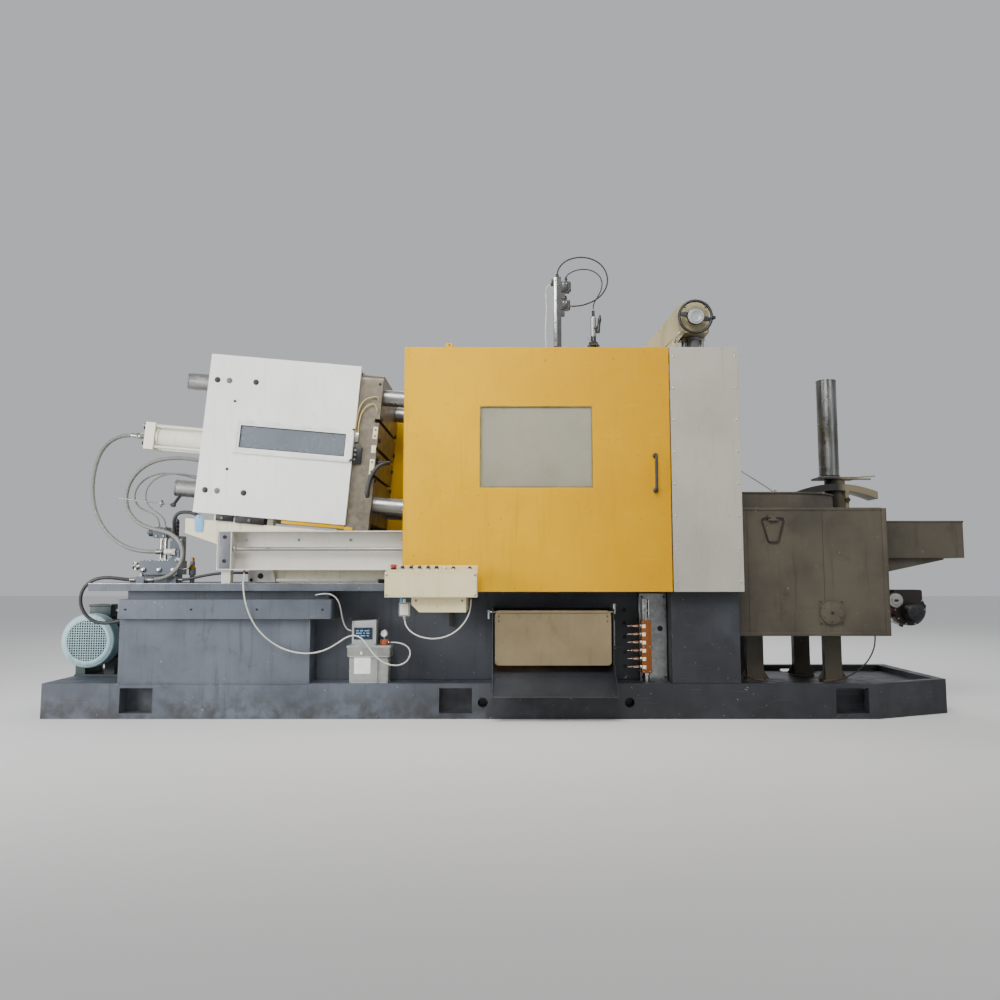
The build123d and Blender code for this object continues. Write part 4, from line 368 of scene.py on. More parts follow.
# Hoses, tubes and cables: each runs through its points in metres, from the fitting that it leaves
cordSlots = {"braidedHose": "hose_grey", "blackHose": "hose_black",
    "nylonTube": "tube_white", "blackCable": "cable_black"}
cords = {
    "cylinder_hose": {"finish": "braidedHose", "thickness": 0.026, "length": 1.37, "stiffness": "stiff",
        "points": ((-2.5165, 0, 1.8231), (-2.5862, 0, 1.8292), (-2.654, -0.01, 1.817),
        (-2.713, -0.03, 1.776), (-2.751, -0.057, 1.71), (-2.768, -0.088, 1.624), (-2.77, -0.12, 1.527),
        (-2.758, -0.152, 1.428), (-2.731, -0.182, 1.331), (-2.687, -0.209, 1.24), (-2.626, -0.233, 1.159),
        (-2.55, -0.254, 1.093), (-2.465, -0.273, 1.047), (-2.377, -0.288, 1.024), (-2.29, -0.3, 1.018),
        (-2.205, -0.3, 1.018))},
    "return_hose": {"finish": "braidedHose", "thickness": 0.026, "length": 1.767, "stiffness": "stiff",
        "points": ((-1.8072, -0.25, 1.6005), (-1.8769, -0.25, 1.6066), (-1.97, -0.253, 1.617),
        (-2.07, -0.256, 1.633), (-2.171, -0.26, 1.64), (-2.269, -0.264, 1.629), (-2.358, -0.269, 1.593),
        (-2.428, -0.275, 1.531), (-2.469, -0.282, 1.45), (-2.477, -0.291, 1.364), (-2.453, -0.303, 1.284),
        (-2.4, -0.318, 1.222), (-2.332, -0.334, 1.184), (-2.265, -0.35, 1.163), (-2.199, -0.367, 1.151),
        (-2.139, -0.385, 1.132), (-2.089, -0.402, 1.098), (-2.055, -0.417, 1.05), (-2.042, -0.432, 0.993),
        (-2.051, -0.447, 0.936), (-2.081, -0.465, 0.886), (-2.128, -0.486, 0.851), (-2.19, -0.5, 0.838),
        (-2.25, -0.5, 0.838))},
    "pilot_hose_left": {"finish": "braidedHose", "thickness": 0.011, "length": 1.009, "stiffness": "medium",
        "points": ((-1.8177, -0.2, 1.4799), (-1.8875, -0.2, 1.486), (-1.99, -0.202, 1.494),
        (-2.075, -0.204, 1.514), (-2.158, -0.206, 1.535), (-2.24, -0.208, 1.545), (-2.318, -0.211, 1.535),
        (-2.383, -0.214, 1.504), (-2.429, -0.217, 1.456), (-2.448, -0.221, 1.399), (-2.438, -0.225, 1.348),
        (-2.405, -0.229, 1.309), (-2.359, -0.234, 1.288), (-2.313, -0.238, 1.269), (-2.28, -0.24, 1.24),
        (-2.269, -0.24, 1.207), (-2.269, -0.24, 1.18))},
    "pilot_hose_right": {"finish": "braidedHose", "thickness": 0.011, "length": 0.898, "stiffness": "medium",
        "points": ((-1.8157, -0.225, 1.5028), (-1.8855, -0.225, 1.5089), (-1.99, -0.227, 1.512),
        (-2.07, -0.229, 1.526), (-2.148, -0.231, 1.538), (-2.222, -0.233, 1.536), (-2.288, -0.235, 1.516),
        (-2.338, -0.236, 1.477), (-2.366, -0.237, 1.426), (-2.369, -0.238, 1.373), (-2.349, -0.239, 1.326),
        (-2.309, -0.24, 1.292), (-2.264, -0.24, 1.263), (-2.235, -0.24, 1.228), (-2.228, -0.24, 1.197),
        (-2.228, -0.24, 1.18))},
    "tank_hose": {"finish": "blackHose", "thickness": 0.022, "length": 0.827, "stiffness": "medium",
        "points": ((-2.3, -0.5, 0.838), (-2.35, -0.5, 0.838), (-2.41, -0.506, 0.846),
        (-2.47, -0.511, 0.853), (-2.53, -0.512, 0.85), (-2.586, -0.508, 0.831), (-2.63, -0.501, 0.794),
        (-2.655, -0.493, 0.74), (-2.655, -0.484, 0.68), (-2.632, -0.475, 0.625), (-2.587, -0.467, 0.583),
        (-2.529, -0.461, 0.565), (-2.469, -0.46, 0.571), (-2.41, -0.46, 0.583), (-2.35, -0.46, 0.583))},
    "bed_hose": {"finish": "blackHose", "thickness": 0.018, "length": 0.519, "stiffness": "medium",
        "points": ((-2.075, -0.428, 0.838), (-2.015, -0.428, 0.838), (-1.95, -0.431, 0.854),
        (-1.88, -0.436, 0.868), (-1.81, -0.441, 0.878), (-1.74, -0.446, 0.882), (-1.65, -0.45, 0.882),
        (-1.56, -0.45, 0.882))},
    "lube_tube": {"finish": "nylonTube", "thickness": 0.009, "length": 1.696, "stiffness": "limp",
        "points": ((-1.59, -0.64, 0.899), (-1.59, -0.64, 0.871), (-1.588, -0.657, 0.844),
        (-1.584, -0.683, 0.824), (-1.578, -0.697, 0.79), (-1.571, -0.701, 0.742), (-1.559, -0.698, 0.688),
        (-1.54, -0.691, 0.63), (-1.512, -0.682, 0.574), (-1.474, -0.672, 0.522), (-1.427, -0.664, 0.477),
        (-1.372, -0.658, 0.44), (-1.311, -0.654, 0.413), (-1.246, -0.652, 0.398), (-1.18, -0.651, 0.394),
        (-1.115, -0.651, 0.404), (-1.054, -0.651, 0.427), (-1.0, -0.651, 0.462), (-0.953, -0.65, 0.494),
        (-0.905, -0.649, 0.506), (-0.862, -0.648, 0.487), (-0.828, -0.647, 0.445), (-0.794, -0.646, 0.396),
        (-0.75, -0.645, 0.354), (-0.697, -0.643, 0.327), (-0.641, -0.639, 0.32), (-0.593, -0.63, 0.338),
        (-0.568, -0.615, 0.376), (-0.572, -0.595, 0.417), (-0.607, -0.565, 0.443), (-0.651, -0.54, 0.452),
        (-0.683, -0.535, 0.453), (-0.715, -0.535, 0.453))},
    "lube_feed": {"finish": "nylonTube", "thickness": 0.008, "length": 0.452, "stiffness": "limp",
        "points": ((-1.156, -0.59, 0.745), (-1.156, -0.624, 0.745), (-1.13, -0.65, 0.751),
        (-1.076, -0.65, 0.757), (-1.032, -0.641, 0.742), (-1.008, -0.622, 0.703), (-0.999, -0.6, 0.652),
        (-0.994, -0.577, 0.604), (-0.985, -0.552, 0.561), (-0.963, -0.535, 0.524), (-0.93, -0.535, 0.524))},
    "panel_cable": {"finish": "nylonTube", "thickness": 0.008, "length": 0.613, "stiffness": "limp",
        "points": ((-0.58, -0.862, 0.629), (-0.58, -0.862, 0.597), (-0.563, -0.86, 0.557),
        (-0.522, -0.859, 0.522), (-0.464, -0.859, 0.501), (-0.392, -0.86, 0.496), (-0.322, -0.861, 0.513),
        (-0.262, -0.862, 0.551), (-0.217, -0.862, 0.605), (-0.19, -0.862, 0.668), (-0.19, -0.862, 0.741))},
    "mast_cable": {"finish": "blackCable", "thickness": 0.01, "length": 0.891, "stiffness": "limp",
        "points": ((0.381, 0, 2.95), (0.381, 0, 2.992), (0.403, -0.005, 3.035), (0.443, -0.011, 3.069),
        (0.499, -0.017, 3.088), (0.561, -0.021, 3.092), (0.622, -0.023, 3.079), (0.676, -0.024, 3.049),
        (0.715, -0.024, 3.003), (0.734, -0.023, 2.946), (0.73, -0.021, 2.886), (0.702, -0.017, 2.831),
        (0.656, -0.011, 2.789), (0.598, -0.005, 2.761), (0.53, 0, 2.743), (0.461, 0, 2.743))},
    "nozzle_cable": {"finish": "blackCable", "thickness": 0.008, "length": 0.567, "stiffness": "limp",
        "points": ((0.632, 0, 2.71), (0.632, 0, 2.746), (0.646, 0.004, 2.784), (0.673, 0.009, 2.825),
        (0.695, 0.014, 2.873), (0.7, 0.018, 2.924), (0.682, 0.02, 2.969), (0.644, 0.02, 3.001),
        (0.594, 0.018, 3.016), (0.544, 0.013, 3.014), (0.499, 0.007, 3.0), (0.464, 0.002, 2.98),
        (0.443, 0, 2.957), (0.443, 0, 2.935))},
    "mast_wire": {"finish": "nylonTube", "thickness": 0.008, "length": 0.64, "stiffness": "limp",
        "points": ((0.355, 0, 2.9), (0.33, 0, 2.9), (0.308, 0, 2.884), (0.3, 0, 2.848), (0.301, 0, 2.802),
        (0.305, 0, 2.736), (0.302, 0, 2.66), (0.296, 0, 2.578), (0.298, 0, 2.505), (0.301, 0, 2.447),
        (0.3, 0, 2.405), (0.301, 0, 2.373), (0.307, 0, 2.351), (0.32, 0, 2.336), (0.337, 0, 2.33),
        (0.355, 0, 2.33))},
    "burner_cable": {"finish": "blackCable", "thickness": 0.009, "length": 1.126, "stiffness": "limp",
        "points": ((2.4, -0.3, 0.487), (2.4, -0.3, 0.438), (2.382, -0.301, 0.376), (2.344, -0.302, 0.314),
        (2.286, -0.303, 0.26), (2.212, -0.304, 0.218), (2.126, -0.305, 0.19), (2.03, -0.306, 0.18),
        (1.92, -0.306, 0.181), (1.8, -0.305, 0.179), (1.69, -0.303, 0.182), (1.61, -0.301, 0.196),
        (1.553, -0.3, 0.226), (1.5, -0.3, 0.246), (1.451, -0.3, 0.246))},
}
for node, cord in cords.items():
    cord["slot"] = cordSlots[cord["finish"]]
    first, *rest = node.split("_")
    name = first + "".join(word.capitalize() for word in rest)
    hose = tube(name, cord["points"], cord["thickness"] / 2, cord["finish"], 5)
    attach(hose, "machine")
    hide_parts(node)
print("hoses and cables laid:", len(cords))


# Shapes, each made from bmesh operators and added to the piece in the making

shape = bmesh.new()
toRight, toLeft, toBack, toFront, upward, downward = (
    (1, 0, 0), (-1, 0, 0), (0, 1, 0), (0, -1, 0), (0, 0, 1), (0, 0, -1))


def onFront(x, y, z):
    # a flat place that faces the front: local X runs right, Y up and Z out
    return Matrix.Translation((x, y, z)) @ Matrix.Rotation(math.radians(90), 4, "X")


def towards(place, axis):
    return Matrix.Translation(place) @ Vector(axis).to_track_quat("Z", "Y").to_matrix().to_4x4()


def around(middle, radius, count, first=0.0, flat=False):
    # evenly spaced places on a circle that faces the front, or lies flat
    for step in range(count):
        angle = math.tau * (step + first) / count
        across, up = math.cos(angle) * radius, math.sin(angle) * radius
        yield Vector(middle) + Vector((across, up, 0) if flat else (across, 0, up))


def addTo(part, place, paint):
    bmesh.ops.remove_doubles(part, verts=part.verts, dist=0.00001)
    bmesh.ops.transform(part, matrix=place, verts=part.verts)
    bmesh.ops.recalc_face_normals(part, faces=part.faces)
    for face in part.faces:
        face.material_index = paint
        face.smooth = True
    carrier = bpy.data.meshes.new("carrier")
    part.to_mesh(carrier)
    part.free()
    shape.from_mesh(carrier)
    bpy.data.meshes.remove(carrier)


def softened(part, geometry, amount, affect="EDGES", segments=2):
    if amount > 0:
        bmesh.ops.bevel(part, geom=list(geometry), offset=amount, offset_type="OFFSET", affect=affect,
                        segments=segments, profile=0.5, material=-1, clamp_overlap=True)


def cornersOf(part):
    return [edge for edge in part.edges if len(edge.link_faces) == 2 and edge.calc_face_angle(0) > 0.9]


def raised(part, thickness):
    made = bmesh.ops.extrude_face_region(part, geom=list(part.faces))
    moved = [item for item in made["geom"] if isinstance(item, bmesh.types.BMVert)]
    bmesh.ops.translate(part, vec=(0, 0, thickness), verts=moved)


def opened(part, band):
    # the faces' outline kept as a band, and what is inside it taken away
    inner = list(part.faces)
    bmesh.ops.inset_region(part, faces=inner, thickness=band, use_even_offset=True, use_boundary=True)
    bmesh.ops.delete(part, geom=inner, context="FACES")


def spun(part, geometry, steps):
    bmesh.ops.spin(part, geom=geometry, cent=(0, 0, 0), axis=(0, 0, 1), dvec=(0, 0, 0),
                   angle=math.tau, steps=steps, use_merge=True, use_duplicate=False)


def block(low, high, paint=0, edge=0.002, place=None):
    part = bmesh.new()
    bmesh.ops.create_cube(part, size=1.0)
    bmesh.ops.scale(part, vec=[b - a for a, b in zip(low, high)], verts=part.verts)
    softened(part, part.edges, edge)
    middle = Matrix.Translation([(a + b) / 2 for a, b in zip(low, high)])
    addTo(part, (place or Matrix()) @ middle, paint)


def turned(outline, place, axis=upward, steps=24, paint=0):
    # a lathe part: its outline is height along the axis and radius there, and an open end is closed flat
    outline = list(outline)
    if outline[0] != outline[-1]:
        for index, (height, radius) in ((0, outline[0]), (len(outline) + 1, outline[-1])):
            if radius > 0:
                outline.insert(index, (height, 0))
    part = bmesh.new()
    points = [part.verts.new((radius, 0, height)) for height, radius in outline]
    edges = [part.edges.new(pair) for pair in zip(points, points[1:])]
    spun(part, points + edges, steps)
    addTo(part, towards(place, axis), paint)


def disc(radius, height, place, axis=upward, steps=24, paint=0):
    turned(((0, radius), (height, radius)), place, axis, steps, paint)


def rod(start, end, radius, paint=0, steps=20, edge=0.0008):
    span = Vector(end) - Vector(start)
    outline = ((0, radius - edge), (edge, radius), (span.length - edge, radius),
               (span.length, radius - edge))
    turned(outline, start, span, steps, paint)


def plate(outline, thickness, place, paint=0, edge=0.001, corner=0.0):
    # a flat outline with rounded corners, raised to its thickness
    part = bmesh.new()
    part.faces.new([part.verts.new((x, y, 0)) for x, y in outline])
    softened(part, part.verts, corner, "VERTICES", 5)
    raised(part, thickness)
    softened(part, cornersOf(part), edge)
    addTo(part, place, paint)


def rim(width, height, band, thickness, place, paint=0, edge=0.0015):
    # a flat frame round an opening
    part = bmesh.new()
    bmesh.ops.create_grid(part, x_segments=1, y_segments=1, size=0.5)
    bmesh.ops.scale(part, vec=(width, height, 1), verts=part.verts)
    opened(part, band)
    raised(part, thickness)
    softened(part, cornersOf(part), edge)
    addTo(part, place, paint)


def ring(radius, thickness, place, axis, paint=0, steps=48, sides=12):
    # a round bar bent to a full circle
    part = bmesh.new()
    bmesh.ops.create_circle(part, segments=sides, radius=thickness)
    upright = Matrix.Rotation(math.radians(90), 3, "X")
    bmesh.ops.rotate(part, cent=(0, 0, 0), matrix=upright, verts=part.verts)
    bmesh.ops.translate(part, vec=(radius, 0, 0), verts=part.verts)
    spun(part, list(part.verts) + list(part.edges), steps)
    addTo(part, towards(place, axis), paint)


def bolt(place, axis, size=0.012, paint=0):
    # a washer with a hexagon head on it
    turned(((0, size * 1.25), (size * 0.15, size * 1.25), (size * 0.18, size * 1.1)), place, axis, 20, paint)
    turned(((0, size), (size * 0.65, size), (size * 0.8, size * 0.86)), place, axis, 6, paint)


def screw(place, axis, size=0.006, paint=0):
    # a socket head with its recess
    turned(((0, size), (size * 0.7, size), (size * 0.85, size * 0.85), (size * 0.85, size * 0.5),
            (size * 0.35, size * 0.45)), place, axis, 16, paint)


def finished(name, finishNames, body="machine", hides=()):
    # the shapes made since the last piece become a new one
    data = bpy.data.meshes.new(name)
    shape.to_mesh(data)
    shape.clear()
    data.set_sharp_from_angle(angle=math.radians(38))
    for finish in finishNames:
        data.materials.append(look[finish])
    piece = bpy.data.objects.new(name, data)
    bpy.context.scene.collection.objects.link(piece)
    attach(piece, body)
    if hides:
        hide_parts(*hides)


def bentPipe(name, points, radius, finish, body="machine"):
    # a stiff pipe or wire
    pipe = tube(name, points, radius, finish, 4)
    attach(pipe, body)


# The clamp unit drops to the right at five degrees: its pieces are placed along it and turned with it
clampPlace = Matrix.Translation((-0.812, 0, 1.674)) @ Matrix.Rotation(math.radians(5), 4, "Y")
clampAxis = clampPlace.to_3x3() @ Vector((1, 0, 0))
clampUp = clampPlace.to_3x3() @ Vector((0, 0, 1))


def onClamp(along, across, up):
    return clampPlace @ Vector((along, across, up))


# Hose ends: a crimped sleeve and a nut at each end of each cord
hoseEnds = {"sleeve": 1.28, "nut": 1.75, "nutLength": 1.0, "sleeveLength": 4.2}
for node, cord in cords.items():
    radius = cord["thickness"] / 2
    points = [Vector(point) for point in cord["points"]]
    for start, toward in ((points[0], points[1]), (points[-1], points[-2])):
        axis = (toward - start).normalized()
        nut = radius * hoseEnds["nut"]
        turned(((0, nut), (radius * hoseEnds["nutLength"], nut), (radius * 1.15, nut * 0.85)), start, axis,
            6)
        sleeve = radius * hoseEnds["sleeve"]
        reach = min(radius * hoseEnds["sleeveLength"], (toward - start).length * 0.9)
        outline = [(0, sleeve)]
        for step in range(1, 4):
            along = reach * step / 4
            outline += [(along - 0.001, sleeve), (along, sleeve * 0.9), (along + 0.001, sleeve)]
        outline += [(reach - 0.001, sleeve), (reach, sleeve * 0.85)]
        turned(outline, start, axis, 20, 1 if cord["finish"] in ("nylonTube", "blackCable") else 0)
finished("hoseEnds", ["nickelFitting", "brassFitting"])

# Toggle cover: plugs in its tie holes, two pins, the window's frame with its latch, and edge screws
coverTrim = {"front": 0.49, "plug": 0.0185, "frameWidth": 0.752, "frameHeight": 0.218, "band": 0.028,
    "plugs": ((-1.062, 0.353, 0), (-0.985, 0.354, 1), (-0.813, 0.358, 0), (-1.057, -0.361, 0),
    (-0.98, -0.36, 1), (-0.81, -0.359, 0)), "pins": ((-0.934, 0.224), (-0.933, -0.216))}
for side in (-1, 1):
    for u, w, shade in coverTrim["plugs"]:
        size = coverTrim["plug"]
        turned(((0, size), (0.0025, size), (0.005, size * 0.88), (0.0065, size * 0.5), (0.007, 0)),
            onClamp(u, side * coverTrim["front"], w), (0, side, 0), 32, shade)
    for u, w in coverTrim["pins"]:
        place = onClamp(u, side * coverTrim["front"], w)
        turned(((0, 0.009), (0.002, 0.009), (0.003, 0.006), (0.012, 0.005)), place, (0, side, 0), 20)
finished("coverPlugs", ["blackPlastic", "greyPlastic"])
middleU = -0.5365
rim(coverTrim["frameWidth"], coverTrim["frameHeight"], coverTrim["band"], 0.013,
    clampPlace @ onFront(middleU, -coverTrim["front"], 0), 0, 0.003)
rim(0.681, 0.148, 0.006, 0.0045, clampPlace @ onFront(middleU, -coverTrim["front"], 0), 1, 0.001)
for step in range(9):
    for w in (-0.49, 0.503):
        place = onClamp(-1.09 + step * 0.1145, coverTrim["front"], w)
        turned(((0, 0.006), (0.0015, 0.006), (0.003, 0.003)), place, toBack, 14, 2)
finished("coverWindowFrame", ["trimWhite", "blackPlastic", "nickelFitting"])
latch = {"u": -0.152, "y": -0.508, "low": -0.092, "high": 0.104}
start = onClamp(latch["u"], latch["y"], latch["low"])
end = onClamp(latch["u"], latch["y"], latch["high"])
rod(start, end, 0.006)
for spot in (start, end):
    turned(((-0.006, 0.008), (0.006, 0.008)), spot, clampUp, 16, 1)
    rod(spot, spot + Vector((0, 0.018, 0)), 0.005, 1)
finished("coverLatch", ["trimWhite", "blackPlastic"])
# a folded stiffener along the cover's open right edge, and the seam along its top
for side in (-1, 1):
    y0, y1 = sorted((side * 0.4905, side * 0.46))
    block((-0.1495, y0, -0.505), (-0.1465, y1, 0.518), 0, 0.0008, clampPlace)
block((-0.1495, -0.489, 0.49), (-0.1465, 0.489, 0.5195), 0, 0.0008, clampPlace)
finished("coverEdge", ["trimWhite"])
print("toggle cover finished")

# Clamp cylinder: tie rod nuts on its square ends, the threaded port and two bolts
cylinderTrim = {"tieRod": 0.072, "left": -1.641}
for y in (-cylinderTrim["tieRod"], cylinderTrim["tieRod"]):
    for w in (-cylinderTrim["tieRod"], cylinderTrim["tieRod"]):
        place = onClamp(cylinderTrim["left"], y, w)
        bolt(place, -clampAxis, 0.016)
        rod(place, place - clampAxis * 0.022, 0.008)
port = onClamp(cylinderTrim["left"], 0, 0)
turned(((0, 0.036), (0.008, 0.036), (0.01, 0.033)), port, -clampAxis, 32)
outline = [(0.01, 0.021)]
for step in range(12):
    outline += [(0.012 + step * 0.004, 0.0195), (0.014 + step * 0.004, 0.0215)]
outline += [(0.062, 0.0195), (0.068, 0.0195)]
turned(outline, port, -clampAxis, 28)
for y, w in ((-0.05, 0.055), (-0.05, -0.05)):
    place = onClamp(cylinderTrim["left"], y, w)
    rod(place, place - clampAxis * 0.026, 0.0075, 1)
    disc(0.012, 0.009, place - clampAxis * 0.014, -clampAxis, 6, 1)
finished("cylinderFittings", ["nickelFitting", "castIron"])
for u in (-1.5735, -1.052):
    turned(((0, 0.079), (0.004, 0.083), (0.014, 0.083), (0.018, 0.079)), onClamp(u, 0, 0), clampAxis, 48)
for w in (-0.083, 0.083):
    block((-1.574, -0.03, w - 0.006), (-1.05, 0.03, w + 0.006), 0, 0.002, clampPlace)
finished("cylinderCollars", ["cylinderCream"])

# Tie bar ends: a lever and a needle rod with its disc at the lower front bar
leverTop = Vector((-2.085, -0.36, 1.396))
leverEnd = Vector((-2.136, -0.37, 1.318))
block((-0.012, -0.009, 0), (0.012, 0.009, 0.094), 0, 0.003, towards(leverTop, leverEnd - leverTop))
turned(((-0.014, 0.014), (0.014, 0.014)), leverEnd, toBack, 20)
turned(((-0.012, 0.018), (0.02, 0.018)), leverTop, toBack, 20)
needleTip = Vector((-2.511, -0.37, 1.366))
rod(leverEnd, needleTip, 0.0042, 1)
discPlace = leverEnd.lerp(needleTip, 0.2)
turned(((-0.003, 0.024), (0.003, 0.024)), discPlace, needleTip - leverEnd, 28, 1)
turned(((-0.012, 0.008), (0.012, 0.008)), discPlace, needleTip - leverEnd, 16, 1)
finished("safetyLever", ["darkCasting", "nickelFitting"])
for y in (-0.335, 0.335):
    for w in (-0.355, 0.355):
        place = onClamp(-1.28, y, w)
        turned(((0, 0.05), (0.004, 0.054), (0.014, 0.0545)), place, -clampAxis, 48)
        turned(((0.014, 0.012), (0.015, 0.012)), place, -clampAxis, 6, 1)
        for step in range(3):
            disc(0.0552, 0.003, place + clampAxis * (0.03 + step * 0.035), clampAxis, 48)
finished("barEnds", ["chromedBar", "darkCasting"])
print("clamp end finished")

# Under the cover: a bent black pipe, a tag on it, dark slide blocks and a thin yellow bar
bentPipe("underPipe", ((-1.93, -0.45, 1.236), (-1.97, -0.45, 1.262), (-2.045, -0.45, 1.27),
    (-2.085, -0.45, 1.255), (-2.105, -0.44, 1.215), (-2.112, -0.4, 1.165), (-2.13, -0.3, 1.118)), 0.011,
    "blackHose")
tag = ((-0.026, -0.055), (0.024, -0.058), (0.03, 0.02), (0.012, 0.05), (-0.014, 0.052), (-0.03, 0.018))
plate(tag, 0.002, onFront(-1.932, -0.474, 1.198), 0, 0.0004, 0.006)
disc(0.007, 0.0012, (-1.932, -0.476, 1.236), toFront, 20, 1)
rod((-1.932, -0.474, 1.238), (-1.93, -0.458, 1.262), 0.0012, 1)
finished("blueTag", ["tagBlue", "nickelFitting"])
slideBlocks = {"front": -0.492, "back": -0.4}
for u0, u1, w0, w1 in ((-0.97, -0.86, -0.548, -0.508), (-0.845, -0.66, -0.552, -0.508)):
    block((u0, slideBlocks["front"] + 0.004, w0), (u1, slideBlocks["back"], w1), 0, 0.003, clampPlace)
for u in (-0.93, -0.755):
    screw(onClamp(u, slideBlocks["front"] + 0.004, -0.53), toFront, 0.009, 1)
finished("slideBlocks", ["darkCasting", "nickelFitting"])
block((-0.555, -0.478, -0.531), (-0.155, -0.462, -0.5085), 0, 0.002, clampPlace)
block((-0.155, -0.477, -0.538), (-0.1, -0.462, -0.517), 0, 0.002, clampPlace)
finished("yellowBar", ["guardYellow"])

# Moving platen: edge strips, an ejector plate with bolts, thin pipes and a hose arc, all on the platen
platenFront = -0.462
for w0, w1 in ((0.06, 0.14), (-0.03, 0.02), (-0.17, -0.07)):
    block((-0.034, platenFront - 0.004, w0), (-0.004, platenFront, w1), 0, 0.002, clampPlace)
for w in (0.12, 0.08, -0.09, -0.15, -0.42, 0.42):
    screw(onClamp(-0.019, platenFront - 0.001, w), toFront, 0.007, 1)
finished("platenEdgeStrips", ["frameCream", "darkCasting"], body="platen")
for y in (-0.4, 0.4):
    for w in (-0.2, -0.06, 0.06, 0.2):
        bolt(onClamp(-0.2, y, w), -clampAxis, 0.017)
        bolt(onClamp(0, y, w), clampAxis, 0.014)
block((-0.17, -0.484, -0.11), (-0.09, -0.462, 0.0), 0, 0.003, clampPlace)
block((-0.165, -0.478, 0.03), (-0.12, -0.462, 0.09), 1, 0.003, clampPlace)
for w in (-0.085, -0.055, -0.025):
    disc(0.007, 0.012, onClamp(-0.13, -0.484, w), toFront, 12, 1)
finished("platenFittings", ["darkCasting", "nickelFitting"], body="platen")
wires = {"platenWireUpper": ((-0.145, -0.47, 0.08), (-0.145, -0.482, 0.2), (-0.12, -0.486, 0.3),
    (-0.05, -0.482, 0.335), (-0.02, -0.474, 0.33), (-0.014, -0.466, 0.31)),
    "platenWireLower": ((-0.128, -0.47, 0.09), (-0.13, -0.48, 0.18), (-0.1, -0.484, 0.26),
    (-0.05, -0.482, 0.29), (-0.026, -0.474, 0.27), (-0.02, -0.466, 0.24))}
for name, points in wires.items():
    bentPipe(name, [clampPlace @ Vector(point) for point in points], 0.0035, "paleYellow", "platen")
bentPipe("platenHose", [clampPlace @ Vector(point) for point in ((-0.03, -0.458, -0.31),
    (-0.03, -0.476, -0.3), (-0.028, -0.48, -0.24), (-0.012, -0.48, -0.165), (0.028, -0.475, -0.105),
    (0.07, -0.46, -0.086), (0.086, -0.43, -0.083), (0.07, -0.4, -0.082), (0.03, -0.39, -0.081),
    (-0.002, -0.39, -0.08))], 0.013, "blackHose", "platen")
print("moving platen finished")

# Door rail: grey faces and bolts on its end blocks, rod nuts, and bolts along its back
blockFront = -0.664
for x in (-1.709, 0.972):
    for z in (1.101, 0.954):
        disc(0.014, 0.002, (x, blockFront, z), toFront)
        screw((x, blockFront - 0.002, z), toFront, 0.011, 1)
for x, side in ((-1.663, 1), (0.928, -1)):
    turned(((0, 0.022), (0.014, 0.022), (0.016, 0.019)), (x, -0.625, 1.0286), (side, 0, 0), 6, 2)
finished("railBolts", ["darkCasting", "blackPlastic", "nickelFitting"])
for x in (-1.741, 0.94):
    block((x, -0.668, 0.907), (x + 0.066, -0.6635, 1.131), 0, 0.001)
finished("railEndFaces", ["postGrey"])
for step in range(9):
    bolt((-1.6 + step * 0.325, -0.576, 1.085), toFront, 0.008)
finished("railBackBolts", ["nickelFitting"])

# Bracket and beam on the deck under the rail
deckTrim = {"front": -0.492, "back": -0.472}
bracket = ((-1.607, 0.822), (-1.43, 0.822), (-1.45, 0.905), (-1.607, 0.912))
plate(bracket, 0.02, onFront(0, deckTrim["back"], 0), 0, 0.003, 0.008)
block((-1.43, deckTrim["front"] + 0.006, 0.8265), (-0.79, deckTrim["back"], 0.846))
finished("deckBracket", ["trimWhite"])
bolt((-1.528, deckTrim["front"], 0.862), toFront, 0.014)
bolt((-1.585, deckTrim["front"], 0.838), toFront, 0.008)
block((-0.787, deckTrim["front"], 0.818), (-0.735, deckTrim["back"], 0.842))
finished("deckBolts", ["darkCasting"])
print("door rail finished")

# Valve block: bolts, silver valve parts, brass and white fittings
valveTrim = {"top": 0.96, "front": -0.4}
for x in (-2.31, -2.26, -2.205, -2.15, -2.1):
    for y in (-0.385, -0.23):
        if y == -0.385 or x < -2.2:
            screw((x, y, valveTrim["top"]), upward, 0.008)
for x in (-2.3, -2.2, -2.11):
    turned(((0, 0.015), (0.01, 0.015), (0.012, 0.012)), (x, valveTrim["front"], 0.9), toFront, 6)
for z in (0.985, 1.095):
    for x in (-2.165, -2.105):
        screw((x, -0.29, z), toFront, 0.007)
for x in (-2.2475, -2.2186):
    rod((x, -0.24, 0.958), (x, -0.24, 1.112), 0.0112, 0, 24)
    disc(0.0165, 0.014, (x, -0.24, 0.96), upward, 6)
    disc(0.0155, 0.012, (x, -0.24, 1.098), upward, 6)
finished("valveScrews", ["nickelFitting"])
outline = [(0, 0.0185)]
for step in range(4):
    outline += [(0.008 + step * 0.011, 0.019), (0.013 + step * 0.011, 0.0215),
        (0.016 + step * 0.011, 0.019)]
outline += [(0.0545, 0.0195)]
turned(outline, (-2.205, -0.3, 1.018), toRight, 28)
disc(0.0225, 0.018, (-2.15, -0.3, 1.018), toRight, 6)
disc(0.021, 0.018, (-2.11, -0.3, 0.96), upward, 6)
turned(((0, 0.022), (0.016, 0.022), (0.018, 0.0205), (0.03, 0.0205), (0.03, 0.0225), (0.045, 0.0225)),
    (-2.385, -0.35, 0.925), toRight, 24, 1)
for x, z in ((-2.36, 0.945), (-2.36, 0.905)):
    rod((x, -0.35, z), (x, -0.385, z), 0.008, 1)
finished("valveFittings", ["fittingWhite", "nickelFitting"])
turned(((0, 0.018), (0.01, 0.018), (0.012, 0.0155), (0.034, 0.0155), (0.036, 0.024), (0.05, 0.024),
    (0.052, 0.017), (0.064, 0.016)), (-2.02, -0.3, 0.866), upward, 8)
turned(((0, 0.012), (0.02, 0.012), (0.024, 0.008)), (-2.02, -0.3, 0.957), upward, 16)
